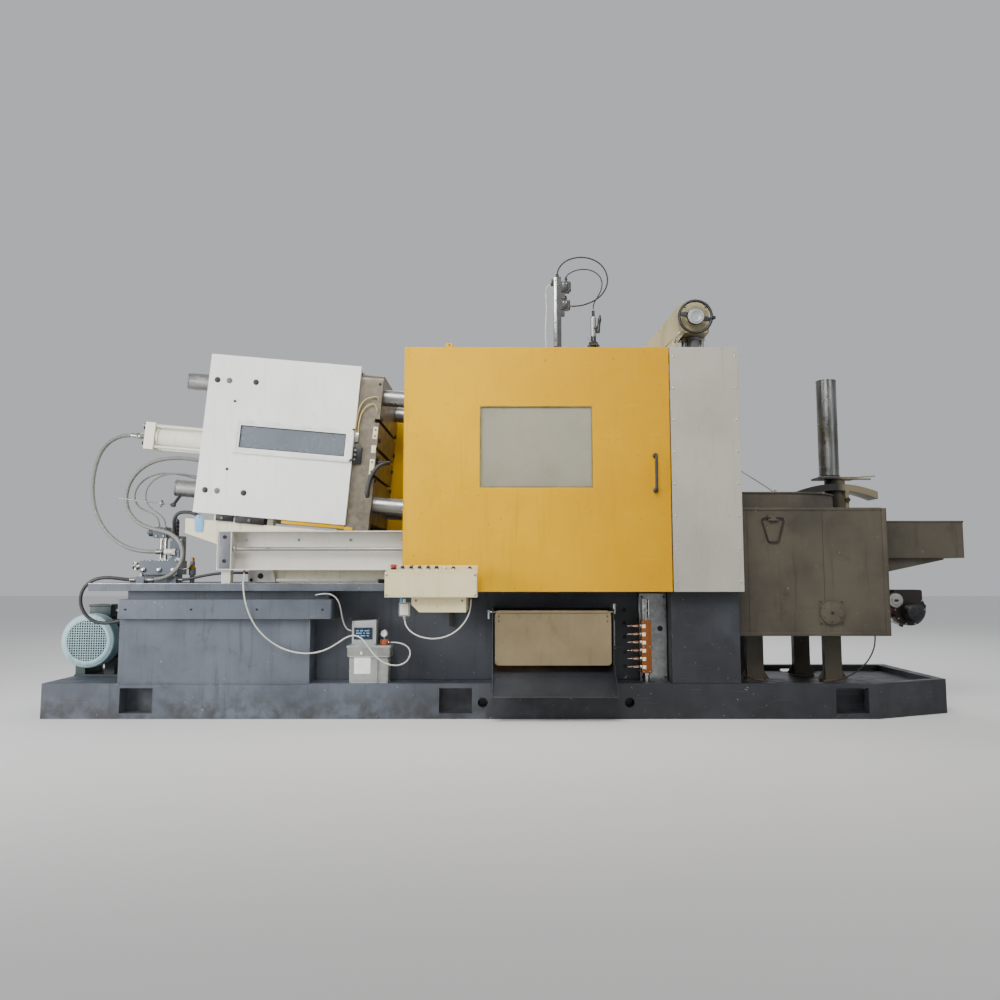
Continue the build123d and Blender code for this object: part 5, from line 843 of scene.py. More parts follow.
turned(((0, 0.0165), (0.01, 0.0165), (0.012, 0.0135), (0.03, 0.0135)), (-2.02, -0.3, 0.83), upward, 6)
rod((-2.02, -0.3, 0.93), (-2.02, -0.345, 0.93), 0.007)
finished("reliefValve", ["brassFitting"])
for z in (1.125, 1.15, 1.175, 1.2):
    turned(((0, 0.0225), (0.016, 0.0225), (0.018, 0.021)), (-2.154, -0.2525, z), upward, 32)
turned(((0, 0.014), (0.006, 0.014), (0.008, 0.008), (0.018, 0.006)), (-2.154, -0.2525, 1.23), upward, 20, 1)
block((-2.17, -0.298, 1.13), (-2.138, -0.27, 1.172), 0, 0.003)
outline = [(0, 0.022)]
for step in range(5):
    outline += [(0.004 + step * 0.007, 0.0255), (0.008 + step * 0.007, 0.0255),
        (0.0095 + step * 0.007, 0.0225)]
outline += [(0.042, 0.02)]
turned(outline, (-2.29, -0.24, 1.145), toLeft)
turned(((0, 0.012), (0.01, 0.012), (0.012, 0.009)), (-2.332, -0.24, 1.145), toLeft, 6, 1)
for z in (1.122, 1.168):
    for x in (-2.27, -2.222):
        screw((x, -0.285, z), toFront, 0.006, 1)
finished("pilotValve", ["blackPlastic", "nickelFitting"])
for x, y in ((-2.288, -0.487), (-2.262, -0.513), (-2.118, -0.44), (-2.088, -0.415)):
    screw((x, y, 0.859), upward, 0.0065, 1)
turned(((0, 0.016), (0.012, 0.016), (0.014, 0.012), (0.022, 0.012)), (-2.275, -0.5, 0.859), upward, 6)
turned(((0, 0.014), (0.012, 0.014), (0.014, 0.01), (0.02, 0.01)), (-2.1, -0.43, 0.859), upward, 6)
finished("blockPlugs", ["nickelFitting", "darkCasting"])
bentPipe("reliefPipe", ((-2.086, -0.36, 0.905), (-2.06, -0.36, 0.905), (-2.035, -0.362, 0.907),
    (-2.022, -0.36, 0.92), (-2.02, -0.35, 0.93), (-2.02, -0.335, 0.93)), 0.0055, "nickelFitting")
print("valve block finished")

# Operator panel: buttons on the sloping face, and the switch box below
panelTrim = {"slope": math.radians(15.14), "seat": (-0.885, 0.9042), "buttons": ((-0.645, "stop"),
    (-0.592, "selector"), (-0.542, "lever"), (-0.492, "selector"), (-0.442, "selector"),
    (-0.392, "selector"), (-0.345, "lamp"), (-0.293, "push"), (-0.197, "push"))}
for x, kind in panelTrim["buttons"]:
    seat = Matrix.Translation((x, *panelTrim["seat"])) @ Matrix.Rotation(panelTrim["slope"], 4, "X")
    # a narrow bare strip under each button
    plate(((-0.017, -0.036), (0.017, -0.036), (0.017, -0.022), (-0.017, -0.022)), 0.0009, seat, 4,
        0.0003, 0.002)
    foot = seat.to_translation()
    up = seat.to_3x3() @ Vector((0, 0, 1))
    across = seat.to_3x3() @ Vector((0.35, 0.94, 0))
    if kind == "stop":
        turned(((0, 0.017), (0.006, 0.017), (0.008, 0.015), (0.012, 0.012)), foot, up, 32)
        turned(((0.012, 0.014), (0.014, 0.0195), (0.02, 0.0205), (0.024, 0.0185), (0.027, 0.012),
            (0.028, 0)), foot, up, 40, 3)
        continue
    turned(((0, 0.0145), (0.002, 0.0145), (0.004, 0.0125), (0.006, 0.0125)), foot, up, 32, 1)
    if kind == "lamp":
        turned(((0.006, 0.0105), (0.012, 0.0095), (0.0145, 0.006), (0.0155, 0)), foot, up, 28, 2)
    elif kind == "push":
        turned(((0.006, 0.01), (0.0125, 0.01), (0.0135, 0.009)), foot, up, 28)
    else:
        turned(((0.006, 0.011), (0.008, 0.0115), (0.016, 0.0105), (0.017, 0.009)), foot, up, 28)
        reach = 0.026 if kind == "lever" else 0.012
        middle = foot + up * 0.0155
        rod(middle - across * 0.011, middle + across * reach, 0.0034, 0, 12)
switchBox = {"low": (-0.6115, -0.885, 0.629), "high": (-0.5495, -0.839, 0.707)}
block(switchBox["low"], switchBox["high"], 2, 0.004)
rim(0.058, 0.074, 0.004, 0.001, onFront(-0.5805, -0.885, 0.668), 5, 0.0003)
block((-0.607, -0.884, 0.707), (-0.592, -0.862, 0.735), 6)
block((-0.589, -0.884, 0.707), (-0.574, -0.862, 0.73), 2)
block((-0.61, -0.88, 0.72), (-0.575, -0.858, 0.7415))
for x, z in ((-0.606, 0.7), (-0.555, 0.7), (-0.606, 0.635), (-0.555, 0.635)):
    screw((x, -0.885, z), toFront, 0.0032, 1)
turned(((0, 0.011), (0.006, 0.011), (0.007, 0.0125), (0.014, 0.0125), (0.02, 0.008), (0.024, 0.0055)),
    (-0.58, -0.862, 0.629), downward, 20, 1)
finished("panelButtons", ["blackPlastic", "nickelFitting", "fittingWhite", "stopRed", "trimWhite",
    "greyPlastic", "tagBlue"], hides=("panel_controls",))
for x in (-0.675, -0.163):
    for z in (0.753, 0.868):
        screw((x, -0.97, z), toFront, 0.0055, 1)
rim(0.53, 0.134, 0.004, 0.0008, onFront(-0.419, -0.97, 0.811), 0, 0.0003)
block((-0.52, -0.905, 0.738), (-0.235, -0.83, 0.7415), 0, 0.001)
for x in (-0.51, -0.24):
    bolt((x, -0.9108, 0.72), toFront, 0.006, 1)
block((-0.342, -0.43, 0.543), (-0.31, -0.424, 0.655), 2, 0.001)
finished("panelTrim", ["panelCream", "nickelFitting", "blackEnamel"])
print("operator panel finished")

# Lubricator: display, bare label, cap, gauge, lid flange and the clear tank over its oil
lubeTrim = {"low": (-0.942, -0.598, 0.212), "high": (-0.704, -0.472, 0.37)}
block((lubeTrim["low"][0] - 0.0015, lubeTrim["low"][1] - 0.0015, 0.2125), (lubeTrim["high"][0] + 0.0015,
    lubeTrim["high"][1] + 0.0015, 0.3705), 0, 0.01)
block((-0.9555, -0.6115, 0.3695), (-0.6905, -0.4585, 0.4365), 0, 0.01)
block((-0.776, -0.6125, 0.214), (-0.768, -0.6, 0.43))
for x in (-0.948, -0.866, -0.78, -0.7):
    block((x - 0.003, -0.6125, 0.372), (x + 0.003, -0.606, 0.43), 0, 0.001)
finished("lubricatorTank", ["clearTank"])
block((-0.9585, -0.6145, 0.4265), (-0.6875, -0.4555, 0.4375), 0, 0.003)
plate(((-0.054, -0.033), (0.054, -0.033), (0.054, 0.033), (-0.054, 0.033)), 0.0025,
    onFront(-0.861, -0.59, 0.511), 1, 0.001, 0.004)
rim(0.114, 0.072, 0.004, 0.004, onFront(-0.861, -0.59, 0.511), 2, 0.001)
for row, widths in enumerate(((0.02, 0.03, 0.014), (0.036, 0.012, 0.02), (0.016, 0.02, 0.03))):
    x = -0.905
    for width in widths:
        block((x, -0.5935, 0.494 + row * 0.015), (x + width, -0.592, 0.501 + row * 0.015), 3, 0.0004)
        x += width + 0.008
for x in (-0.923, -0.79):
    for z in (0.445, 0.578):
        screw((x, -0.59, z), toFront, 0.004, 4)
plate(((-0.05, -0.057), (0.05, -0.057), (0.05, 0.057), (-0.05, 0.057)), 0.0008, onFront(-0.8625, -0.5995,
    0.325), 5, 0.0003, 0.003)
block((-0.874, -0.616, 0.385), (-0.862, -0.612, 0.402), 5, 0.001)
outline = [(0, 0.0245), (0.004, 0.0255), (0.03, 0.0245), (0.034, 0.021)]
turned(outline, (-0.738, -0.535, 0.4365), upward, 36, 6)
for place in around((-0.738, -0.535, 0.44), 0.0248, 18, flat=True):
    rod(place, place + Vector((0, 0, 0.026)), 0.002, 6, 8, 0.0004)
rod((-0.738, -0.535, 0.47), (-0.738, -0.535, 0.49), 0.0075, 4)
gauge = Vector((-0.738, -0.55, 0.508))
turned(((0, 0.0215), (0.002, 0.0225), (0.006, 0.0225), (0.007, 0.0195), (0.005, 0.018)), gauge, toFront, 40,
    4)
turned(((0.005, 0.0175), (0.0056, 0.0175)), gauge, toFront, 36, 5)
for step in range(9):
    angle = math.radians(-130 + step * 32.5)
    place = gauge + Vector((math.sin(angle) * 0.014, -0.0055, math.cos(angle) * 0.014))
    rod(place, place + Vector((math.sin(angle) * 0.003, 0, math.cos(angle) * 0.003)), 0.0006, 2, 6, 0.0001)
rod(gauge + Vector((0, -0.0062, 0)), gauge + Vector((-0.01, -0.0062, 0.009)), 0.0006, 2, 6, 0.0001)
disc(0.0215, 0.007, (-0.738, -0.521, 0.508), toBack, 36, 4)
finished("lubricatorDetails", ["lubeGrey", "displayBlue", "blackPlastic", "displayPale", "nickelFitting",
    "trimWhite", "capOrange"])
print("lubricator finished")

# Sliding door: pane gasket, grip collars, the lug's hole and the worn side edges
doorTrim = {"face": -0.72, "paneX": 0.2035, "paneZ": 1.653, "paneWidth": 0.693, "paneHeight": 0.504}
rim(doorTrim["paneWidth"] + 0.001, doorTrim["paneHeight"] + 0.001, 0.007, 0.01, onFront(doorTrim["paneX"],
    doorTrim["face"] + 0.0122, doorTrim["paneZ"]), 0, 0.002)
finished("paneGasket", ["paneRubber"], body="door")
for z in (1.383, 1.598):
    turned(((0, 0.0165), (0.002, 0.0165), (0.004, 0.013)), (0.933, doorTrim["face"] - 0.005, z), toFront,
        32)
    for x in (0.921, 0.945):
        screw((x, doorTrim["face"] - 0.0075, z), toFront, 0.003, 1)
finished("gripCollars", ["blackPlastic", "nickelFitting"], body="door")
block((-0.354, -0.7152, 2.2785), (-0.316, -0.6895, 2.3042), 0, 0.003)
disc(0.005, 0.0012, (-0.335, -0.7152, 2.292), toFront, 20, 1)
for x in (-0.6105, 1.0235):
    block((x - 0.0015, -0.7215, 0.769), (x + 0.0015, -0.7195, 2.276), 0, 0.0006)
finished("doorEdges", ["guardYellow", "blackPlastic"], body="door")
# fixed panel beside the door: screws down both edges
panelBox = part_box("fixed_panel")
for x in (panelBox[0][0] + 0.02, panelBox[1][0] - 0.02):
    for step in range(8):
        z = panelBox[0][2] + 0.06 + step * (panelBox[1][2] - panelBox[0][2] - 0.12) / 7
        turned(((0, 0.006), (0.0015, 0.006), (0.003, 0.003)), (x, panelBox[0][1], z), toFront, 14)
finished("panelScrews", ["nickelFitting"])
# back of the guard: a bare access panel, its quarter-turn catches and vents
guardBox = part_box("rear_guard")
guardBack = guardBox[1][1]
middleX = (guardBox[0][0] + guardBox[1][0]) / 2
onBack = Matrix.Translation((middleX, guardBack, 1.55)) @ Matrix.Rotation(math.radians(-90), 4, "X")
rim(1.1, 0.78, 0.022, 0.004, onBack)
for x in (-0.48, 0.48):
    for z in (-0.33, 0.33):
        turned(((0, 0.016), (0.004, 0.016), (0.006, 0.012)), onBack @ Vector((x, z, 0.002)), toBack, 24, 1)
        block((x - 0.011, z - 0.002, 0.006), (x + 0.011, z + 0.002, 0.011), 1, 0.001, onBack)
for step in range(9):
    block((-0.16, 0.16 - step * 0.028, 0.0), (0.16, 0.172 - step * 0.028, 0.006), 0, 0.003, onBack)
finished("guardBackPanel", ["guardYellow", "blackPlastic"])
print("door and guards finished")

# Chute: hinge pins, the flap's roller bar and screws, and the drain holes beside it
chuteTrim = {"wall": -0.4, "holeX": 0.7705, "holes": (0.647, 0.565, 0.477, 0.383, 0.296)}
for x, z0, z1 in ((-0.088, 0.6, 0.655), (0.684, 0.631, 0.692)):
    rod((x, -0.606, z0), (x, -0.606, z1), 0.009)
    disc(0.0115, 0.006, (x, -0.606, z1 - 0.012), upward, 6)
rod((-0.094, -0.606, 0.6425), (-0.058, -0.606, 0.6425), 0.0065)
rod((0.668, -0.606, 0.6425), (0.69, -0.606, 0.6425), 0.0065)
rod((0.683, -0.604, 0.437), (0.683, -0.604, 0.594), 0.0035)
finished("flapPins", ["nickelFitting"])
# black discs on the wall: painted shade inside the drain holes
for z in chuteTrim["holes"]:
    turned(((0, 0.0125), (0.0012, 0.0125), (0.0016, 0.009)), (chuteTrim["holeX"], chuteTrim["wall"], z),
        toFront)
finished("drainHoleShade", ["paintedShadeBlack"])
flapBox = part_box("chute_flap")
for x in (flapBox[0][0] + 0.045, flapBox[1][0] - 0.045):
    for z in (flapBox[1][2] - 0.035, flapBox[1][2] - 0.065):
        screw((x, flapBox[0][1], z), toFront, 0.0045)
finished("flapScrews", ["darkCasting"], body="flap")

# Coolant manifold: cream tags down its edge, valves with levers, end fittings and two thin rods
manifoldTrim = {"y": -0.52, "left": 0.858, "first": 0.3025, "pitch": 0.05, "count": 6}
for step in range(manifoldTrim["count"]):
    z = manifoldTrim["first"] + step * manifoldTrim["pitch"]
    y = manifoldTrim["y"]
    turned(((0, 0.0085), (0.007, 0.0085), (0.009, 0.006), (0.018, 0.006), (0.02, 0.0095), (0.034, 0.0095),
        (0.036, 0.0055), (0.05, 0.005), (0.064, 0.0042), (0.066, 0)), (manifoldTrim["left"], y, z), toLeft,
        16, 1 if step == 3 else 0)
    disc(0.0115, 0.006, (manifoldTrim["left"], y, z), toLeft, 6)
    rod((manifoldTrim["left"] - 0.027, y, z), (manifoldTrim["left"] - 0.027, y - 0.02, z), 0.003, 0, 12)
    block((manifoldTrim["left"] - 0.052, y - 0.023, z - 0.0028), (manifoldTrim["left"] - 0.022, y - 0.019,
        z + 0.0028), 0, 0.001)
    rod((manifoldTrim["left"] - 0.064, y, z), (manifoldTrim["left"] - 0.086, y, z), 0.0028, 0, 12)
finished("manifoldValves", ["nickelFitting", "brassFitting"])
for step in range(manifoldTrim["count"]):
    z = manifoldTrim["first"] + step * manifoldTrim["pitch"]
    block((0.861, -0.5525, z - 0.011), (0.883, -0.5495, z + 0.011), 0, 0.001)
for x in (0.868, 0.908):
    for z in (0.276, 0.428, 0.579):
        screw((x, -0.55, z), toFront, 0.0045, 1)
finished("manifoldTags", ["frameCream", "nickelFitting"])
outline = [(0, 0.023), (0.016, 0.023), (0.018, 0.0185), (0.05, 0.0185), (0.052, 0.022),
    (0.07, 0.022), (0.072, 0.0182), (0.1, 0.0182), (0.102, 0.0205), (0.1285, 0.0205)]
turned(outline, (0.888, -0.52, 0.588))
disc(0.0225, 0.014, (0.888, -0.52, 0.253), upward, 6)
disc(0.0188, 0.045, (0.888, -0.52, 0.2125))
for x in (0.87, 0.906):
    rod((x, -0.545, 0.588), (x, -0.545, 0.715), 0.0045, 0, 12)
finished("manifoldFittings", ["nickelFitting"])
for x in (0.873, 1.012):
    for z in (0.235, 0.732):
        screw((x, -0.47, z), toFront, 0.007, 1)
# a black disc on the plate: painted shade inside a round opening
turned(((0, 0.017), (0.002, 0.017), (0.003, 0.014)), (0.985, -0.47, 0.535), toFront, 28)
finished("manifoldPlateScrews", ["paintedShadeBlack", "darkCasting"])
print("chute and manifold finished")

# Spray mast: an edge strip, valve caps, glands, the ribbed nozzle and its connector
block((0.357, -0.0265, 2.452), (0.377, -0.0225, 2.947), 0, 0.001)
for z in (2.49, 2.62, 2.78, 2.92):
    screw((0.367, -0.0265, z), toFront, 0.0045, 1)
finished("mastStrip", ["mastAluminium", "darkCasting"])
for z, size in ((2.89, 0.06), (2.758, 0.054)):
    for step in range(3):
        disc(0.019 - step * 0.003, 0.009, (0.407 + size, 0, z - 0.024 + step * 0.02), toRight, 20)
    block((0.412, -size / 2 - 0.004, z - size * 0.7), (0.407 + size * 0.8, -size / 2, z + size * 0.3))
    for x in (0.42, 0.407 + size * 0.62):
        screw((x, -size / 2 - 0.004, z + size * 0.12), toFront, 0.004, 1)
    turned(((0, 0.0105), (0.012, 0.0105), (0.016, 0.007), (0.024, 0.006)),
        (0.407 + size * 0.6, 0, z + size * 0.7), upward, 18)
turned(((0, 0.012), (0.02, 0.012), (0.03, 0.008)), (0.381, 0, 2.945), upward, 20)
turned(((0, 0.011), (0.018, 0.011), (0.024, 0.007)), (0.357, 0, 2.9), toLeft, 20)
block((0.34, -0.016, 2.905), (0.356, 0.016, 2.935))
finished("mastValves", ["blackPlastic", "nickelFitting"])
outline = [(0, 0.0195)]
for step in range(11):
    outline += [(0.003 + step * 0.012, 0.0195), (0.006 + step * 0.012, 0.0215),
        (0.01 + step * 0.012, 0.0215), (0.012 + step * 0.012, 0.0195)]
outline += [(0.139, 0.0195), (0.142, 0.013)]
turned(outline, (0.632, 0, 2.524), upward, 32)
finished("nozzleBody", ["mastAluminium"])
turned(((0, 0.0125), (0.01, 0.0135), (0.03, 0.0135), (0.034, 0.0115), (0.08, 0.0115), (0.084, 0.013),
    (0.1, 0.013), (0.112, 0.008), (0.13, 0.006)), (0.662, -0.012, 2.548), (0.13, 0, 1))
block((0.632, -0.024, 2.574), (0.664, -0.002, 2.596), 0, 0.003)
turned(((0, 0.044), (0.008, 0.044), (0.012, 0.036), (0.03, 0.03), (0.034, 0.024)), (0.632, 0, 2.4555),
    upward, 6)
for x in (0.598, 0.64):
    bolt((x, -0.03, 2.4555), upward, 0.006, 1)
rod((0.612, -0.02, 2.49), (0.585, -0.03, 2.512), 0.0025, 1, 10)
finished("nozzleConnector", ["blackPlastic", "nickelFitting"])
print("spray mast finished")

# Handwheel: a round rim, two wide spokes, a faced dial and a knob on the rim
wheelTrim = {"x": 1.305, "z": 2.61, "y": -0.215, "radius": 0.11, "bar": 0.0098, "turn": 12}
wheelPlace = onFront(wheelTrim["x"], wheelTrim["y"], wheelTrim["z"]) @ Matrix.Rotation(
    math.radians(-wheelTrim["turn"]), 4, "Z")
wheelMiddle = wheelPlace.to_translation()
ring(wheelTrim["radius"], wheelTrim["bar"], wheelMiddle, toBack, 0, 72, 16)
for side in (-1, 1):
    spoke = ((side * 0.04, -0.021), (side * 0.112, -0.012), (side * 0.112, 0.012), (side * 0.04, 0.021))
    plate(spoke, 0.012, wheelPlace @ Matrix.Translation((0, 0, -0.006)), 0, 0.004, 0.003)
turned(((-0.017, 0.05), (-0.01, 0.057), (0.006, 0.059), (0.012, 0.057)), wheelMiddle, toFront, 56)
turned(((0.012, 0.0545), (0.0165, 0.0545), (0.0172, 0.052), (0.016, 0.0505), (0.016, 0.038),
    (0.0166, 0.0372), (0.0166, 0.0358), (0.016, 0.035), (0.016, 0.013), (0.0172, 0.012)), wheelMiddle,
    toFront, 64, 1)
for step in range(12):
    angle = math.tau * step / 12
    spot = wheelMiddle + Vector((math.sin(angle) * 0.044, -0.0163, math.cos(angle) * 0.044))
    rod(spot, spot + Vector((math.sin(angle) * 0.005, 0, math.cos(angle) * 0.005)), 0.0007, 2, 6, 0.0001)
knobSpot = wheelPlace @ Vector((0.111, 0.004, 0))
turned(((-0.008, 0.008), (0.01, 0.007), (0.014, 0.0095), (0.028, 0.0125), (0.04, 0.012), (0.045, 0.008),
    (0.046, 0)), knobSpot, (0.25, -1, 0.1), 28)
rod(wheelMiddle + Vector((0, 0.01, 0)), (wheelTrim["x"], -0.127, wheelTrim["z"]), 0.0119, 3)
finished("handwheelDetailed", ["blackPlastic", "dialGrey", "blackEnamel", "nickelFitting"],
    body="wheel", hides=("handwheel",))

# Injection head: cap screws, column nuts, the grease pipe beside the arm
for x in (1.245, 1.389):
    for z in (2.54, 2.7):
        screw((x, -0.15, z), toFront, 0.01)
for x in (1.262, 1.388):
    for z in (2.495, 1.662):
        turned(((0, 0.026), (0.02, 0.026), (0.022, 0.023)), (x, 0, z), upward, 6)
turned(((0, 0.054), (0.004, 0.056), (0.018, 0.056), (0.022, 0.052)), (1.325, 0, 2.4945), upward, 48, 1)
turned(((0, 0.0495), (0.03, 0.0495), (0.034, 0.0465)), (1.325, 0, 1.898), upward, 48, 1)
for place in around((1.325, 0, 2.4945), 0.045, 4, 0.5, flat=True):
    bolt(place, downward, 0.006)
finished("headBolts", ["nickelFitting", "cylinderGrey"])
block((1.155, -0.155, 2.4), (1.19, -0.1495, 2.45))
turned(((0, 0.011), (0.012, 0.011), (0.016, 0.007), (0.022, 0.007)), (1.172, -0.153, 2.45), (0.2, -0.2, 1),
    16, 1)
finished("armBracket", ["armCream", "nickelFitting"])
bentPipe("greasePipe", ((1.178, -0.158, 2.468), (1.186, -0.162, 2.495), (1.2, -0.165, 2.512),
    (1.217, -0.165, 2.518), (1.232, -0.158, 2.522), (1.238, -0.148, 2.525)), 0.003, "nickelFitting")
print("injection head finished")

# Furnace: welded corner angles, sooty seams, edge screws and the round access cover
furnaceTrim = {"left": 1.08, "right": 2.438, "front": -0.46, "back": 0.46, "low": 0.487, "top": 1.293}
cornerLeft = furnaceTrim["right"] - 0.028
for y, out in ((furnaceTrim["front"], -1), (furnaceTrim["back"], 1)):
    y0, y1 = sorted((y, y + out * 0.004))
    block((cornerLeft, y0, furnaceTrim["low"]), (furnaceTrim["right"], y1, furnaceTrim["top"]), 0, 0.0012)
    block((furnaceTrim["left"], y0, furnaceTrim["low"]), (cornerLeft, y1, furnaceTrim["low"] + 0.024), 0,
        0.0012)
    block((furnaceTrim["left"], y0, furnaceTrim["top"] - 0.016),
        (cornerLeft, y1, furnaceTrim["top"] + 0.003), 0, 0.0012)
    side0, side1 = sorted((y - out * 0.024, y + out * 0.004))
    block((furnaceTrim["right"], side0, furnaceTrim["low"]), (furnaceTrim["right"] + 0.003, side1,
        furnaceTrim["top"]), 0, 0.0012)
finished("furnaceAngles", ["furnaceBrown"])
for x in (1.552, 2.03):
    block((x, -0.4612, 0.511), (x + 0.0022, -0.4598, 1.277), 0, 0.0004)
for x in (1.63, 1.8):
    block((x, -0.4625, 1.27), (x + 0.002, -0.4598, 1.2765), 0, 0.0004)
for x in (1.31, 1.47, 1.62, 1.78, 1.95, 2.12, 2.28, 2.41):
    for z in (1.284, 0.499):
        turned(((0, 0.006), (0.002, 0.0055), (0.0035, 0.003), (0.004, 0)), (x, -0.464, z), toFront, 14, 1)
finished("furnaceSeams", ["soot", "furnaceBrown"])
turned(((0, 0.066), (0.002, 0.066), (0.003, 0.063)), (2.068, -0.48, 0.633), toFront, 56)
turned(((0, 0.01), (0.006, 0.01), (0.008, 0.007)), (2.068, -0.483, 0.633), toFront, 6, 1)
for place in around((2.068, -0.48, 0.633), 0.058, 6, 0.5):
    screw(place, toFront, 0.0048, 1)
for x in (-0.066, 0.066):
    for z in (-0.066, 0.066):
        screw((2.068 + x, -0.466, 0.633 + z), toFront, 0.0045, 1)
finished("accessCover", ["furnaceBrown", "darkCasting"])
# the ring's flat rim
ringTrim = {"middle": 1.675, "straight": 0.165, "radius": 0.408, "band": 0.07, "low": 1.39, "thick": 0.0115}
part = bmesh.new()
bmesh.ops.create_circle(part, cap_ends=True, segments=96, radius=ringTrim["radius"])
for side in (-1, 1):
    half = [vert for vert in part.verts if vert.co.x * side > 0.0001]
    bmesh.ops.translate(part, vec=(side * ringTrim["straight"], 0, 0), verts=half)
opened(part, ringTrim["band"])
raised(part, ringTrim["thick"])
softened(part, cornersOf(part), 0.003)
addTo(part, Matrix.Translation((ringTrim["middle"], 0, ringTrim["low"])), 0)
finished("ringRim", ["furnaceBrown"])
# the damper plate's bar and bracket, and the clamps round the flue
rod((2.505, 0.15, 1.552), (2.62, 0.15, 1.56), 0.005)
block((2.222, 0.142, 1.5515), (2.502, 0.3, 1.5545), 0, 0.001)
turned(((0, 0.078), (0.004, 0.079), (0.012, 0.079), (0.014, 0.0745)), (2.361, 0.23, 1.49), upward, 56, 1)
turned(((0, 0.0745), (0.003, 0.076), (0.012, 0.076), (0.014, 0.0735)), (2.325, 0.23, 1.554), upward, 56, 1)
for step in range(4):
    angle = math.tau * (step + 0.5) / 4
    bolt((2.361 + math.cos(angle) * 0.1, 0.23 + math.sin(angle) * 0.066, 1.5545), upward, 0.006, 1)
turned(((-0.012, 0.016), (0.012, 0.016)), (2.414, 0.13, 1.39), toFront, 20, 1)
finished("damperParts", ["nickelFitting", "darkCasting"])
for z in (1.62, 1.93, 2.247):
    turned(((0, 0.0697), (0.001, 0.0705), (0.009, 0.0705), (0.01, 0.0697)), (2.325, 0.23, z), upward, 72)
block((2.323, 0.1598, 1.56), (2.327, 0.1615, 2.25), 0, 0.0006)
for z in (1.56, 1.572, 1.584, 1.596):
    for x in (2.305, 2.345):
        turned(((0, 0.0025), (0.0015, 0.0018), (0.002, 0)), (x, 0.1633, z), toFront, 10)
finished("chimneyBands", ["flueSteel"])
# a stiff thermocouple lead from the guard down to the ring, in steel sheath
bentPipe("probeLead", ((1.432, -0.47, 1.665), (1.455, -0.43, 1.655), (1.5, -0.36, 1.605),
    (1.56, -0.29, 1.552), (1.64, -0.295, 1.5), (1.71, -0.297, 1.455), (1.76, -0.298, 1.42),
    (1.78, -0.298, 1.402), (1.785, -0.298, 1.395)), 0.0038, "nickelFitting")
turned(((0, 0.014), (0.01, 0.014), (0.012, 0.009), (0.026, 0.008)), (1.785, -0.298, 1.397), upward, 6)
finished("probeNut", ["nickelFitting"])
# the bail: clip bolts
for x in (-0.022, 0.022):
    screw((1.714 + x, -0.484, 1.229), toFront, 0.0055)
finished("bailClipScrews", ["darkCasting"])
# leg plates: stiffeners and anchor bolts
for x, y in ((2.15, -0.2), (2.07, 0.2), (1.64, -0.2), (1.64, 0.2)):
    for side in (-1, 1):
        bolt((x + side * 0.064, y, 0.192), upward, 0.008, 1)
        plate(((0, 0), (0.045, 0), (0, 0.07)), 0.006,
            onFront(x + side * 0.055, y + 0.003, 0.192) @ Matrix.Diagonal((side, 1, 1, 1)))
    block((x - 0.068, y - 0.04, 0.475), (x + 0.068, y + 0.04, 0.487))
finished("legPlates", ["furnaceBrown", "darkCasting"])
# ingot tray: a folded lip and the bolts of its side plates
trayRim = {"left": 2.52, "right": 3.03, "edge": 0.2535, "low": 1.211, "high": 1.223}
for x, y0, y1 in ((trayRim["left"], -trayRim["edge"], -0.244), (trayRim["left"], 0.244, trayRim["edge"]),
        (3.02, -trayRim["edge"], trayRim["edge"])):
    block((x, y0, trayRim["low"]), (trayRim["right"], y1, trayRim["high"]), 0, 0.0015)
for z in (1.01, 1.06, 1.11, 1.16):
    for y in (-0.21, 0.21):
        bolt((2.4385, y, z), toRight, 0.007, 1)
finished("trayLip", ["furnaceBrown", "darkCasting"])

# Burner: blower cover with ribs, air dial, adjusting knob, lever and cable gland
burnerTrim = {"x": 2.695, "front": -0.155, "motorFront": -0.245, "motorZ": 0.6232}
for step, place in enumerate(around((burnerTrim["x"], burnerTrim["front"] + 0.002, 0.64), 0.098, 10)):
    if step not in (2, 3):
        screw(place, toFront, 0.006, 1)
for step in range(5):
    disc(0.0645 - step * 0.0005, 0.006,
        (burnerTrim["x"], burnerTrim["front"] - 0.012 - step * 0.014, burnerTrim["motorZ"]), toFront, 40)
turned(((0, 0.058), (0.004, 0.056), (0.01, 0.044), (0.012, 0)),
    (burnerTrim["x"], burnerTrim["motorFront"], burnerTrim["motorZ"]), toFront, 40)
# six black discs on the blower's face: painted shade inside its small holes
for place in around((burnerTrim["x"], burnerTrim["motorFront"] - 0.0115, burnerTrim["motorZ"]), 0.03, 6):
    disc(0.005, 0.0012, place, toFront, 14, 2)
finished("burnerBlower", ["darkCasting", "nickelFitting", "paintedShadeBlack"])
turned(((0, 0.05), (0.01, 0.05), (0.014, 0.046), (0.014, 0.03), (0.018, 0.028)), (2.6, -0.155, 0.7),
    toFront, 44)
turned(((0, 0.01), (0.016, 0.009), (0.018, 0.006)), (2.6, -0.173, 0.7), toFront, 20, 1)
turned(((0, 0.011), (0.014, 0.013), (0.022, 0.012), (0.024, 0.008)), (2.7995, -0.1, 0.66), toRight, 24, 1)
rod((2.5, -0.12, 0.59), (2.545, -0.165, 0.572), 0.006)
rod((2.545, -0.165, 0.572), (2.61, -0.175, 0.545), 0.0055)
turned(((0, 0.01), (0.02, 0.012), (0.026, 0.009), (0.028, 0)), (2.61, -0.175, 0.545), (0.9, -0.1, -0.35),
    20, 1)
block((2.47, -0.175, 0.665), (2.545, -0.11, 0.735), 1, 0.006)
turned(((0, 0.012), (0.012, 0.012), (0.018, 0.008), (0.022, 0.008)), (2.507, -0.142, 0.735), upward, 16)
finished("burnerControls", ["nickelFitting", "blackPlastic"])
print("furnace finished")

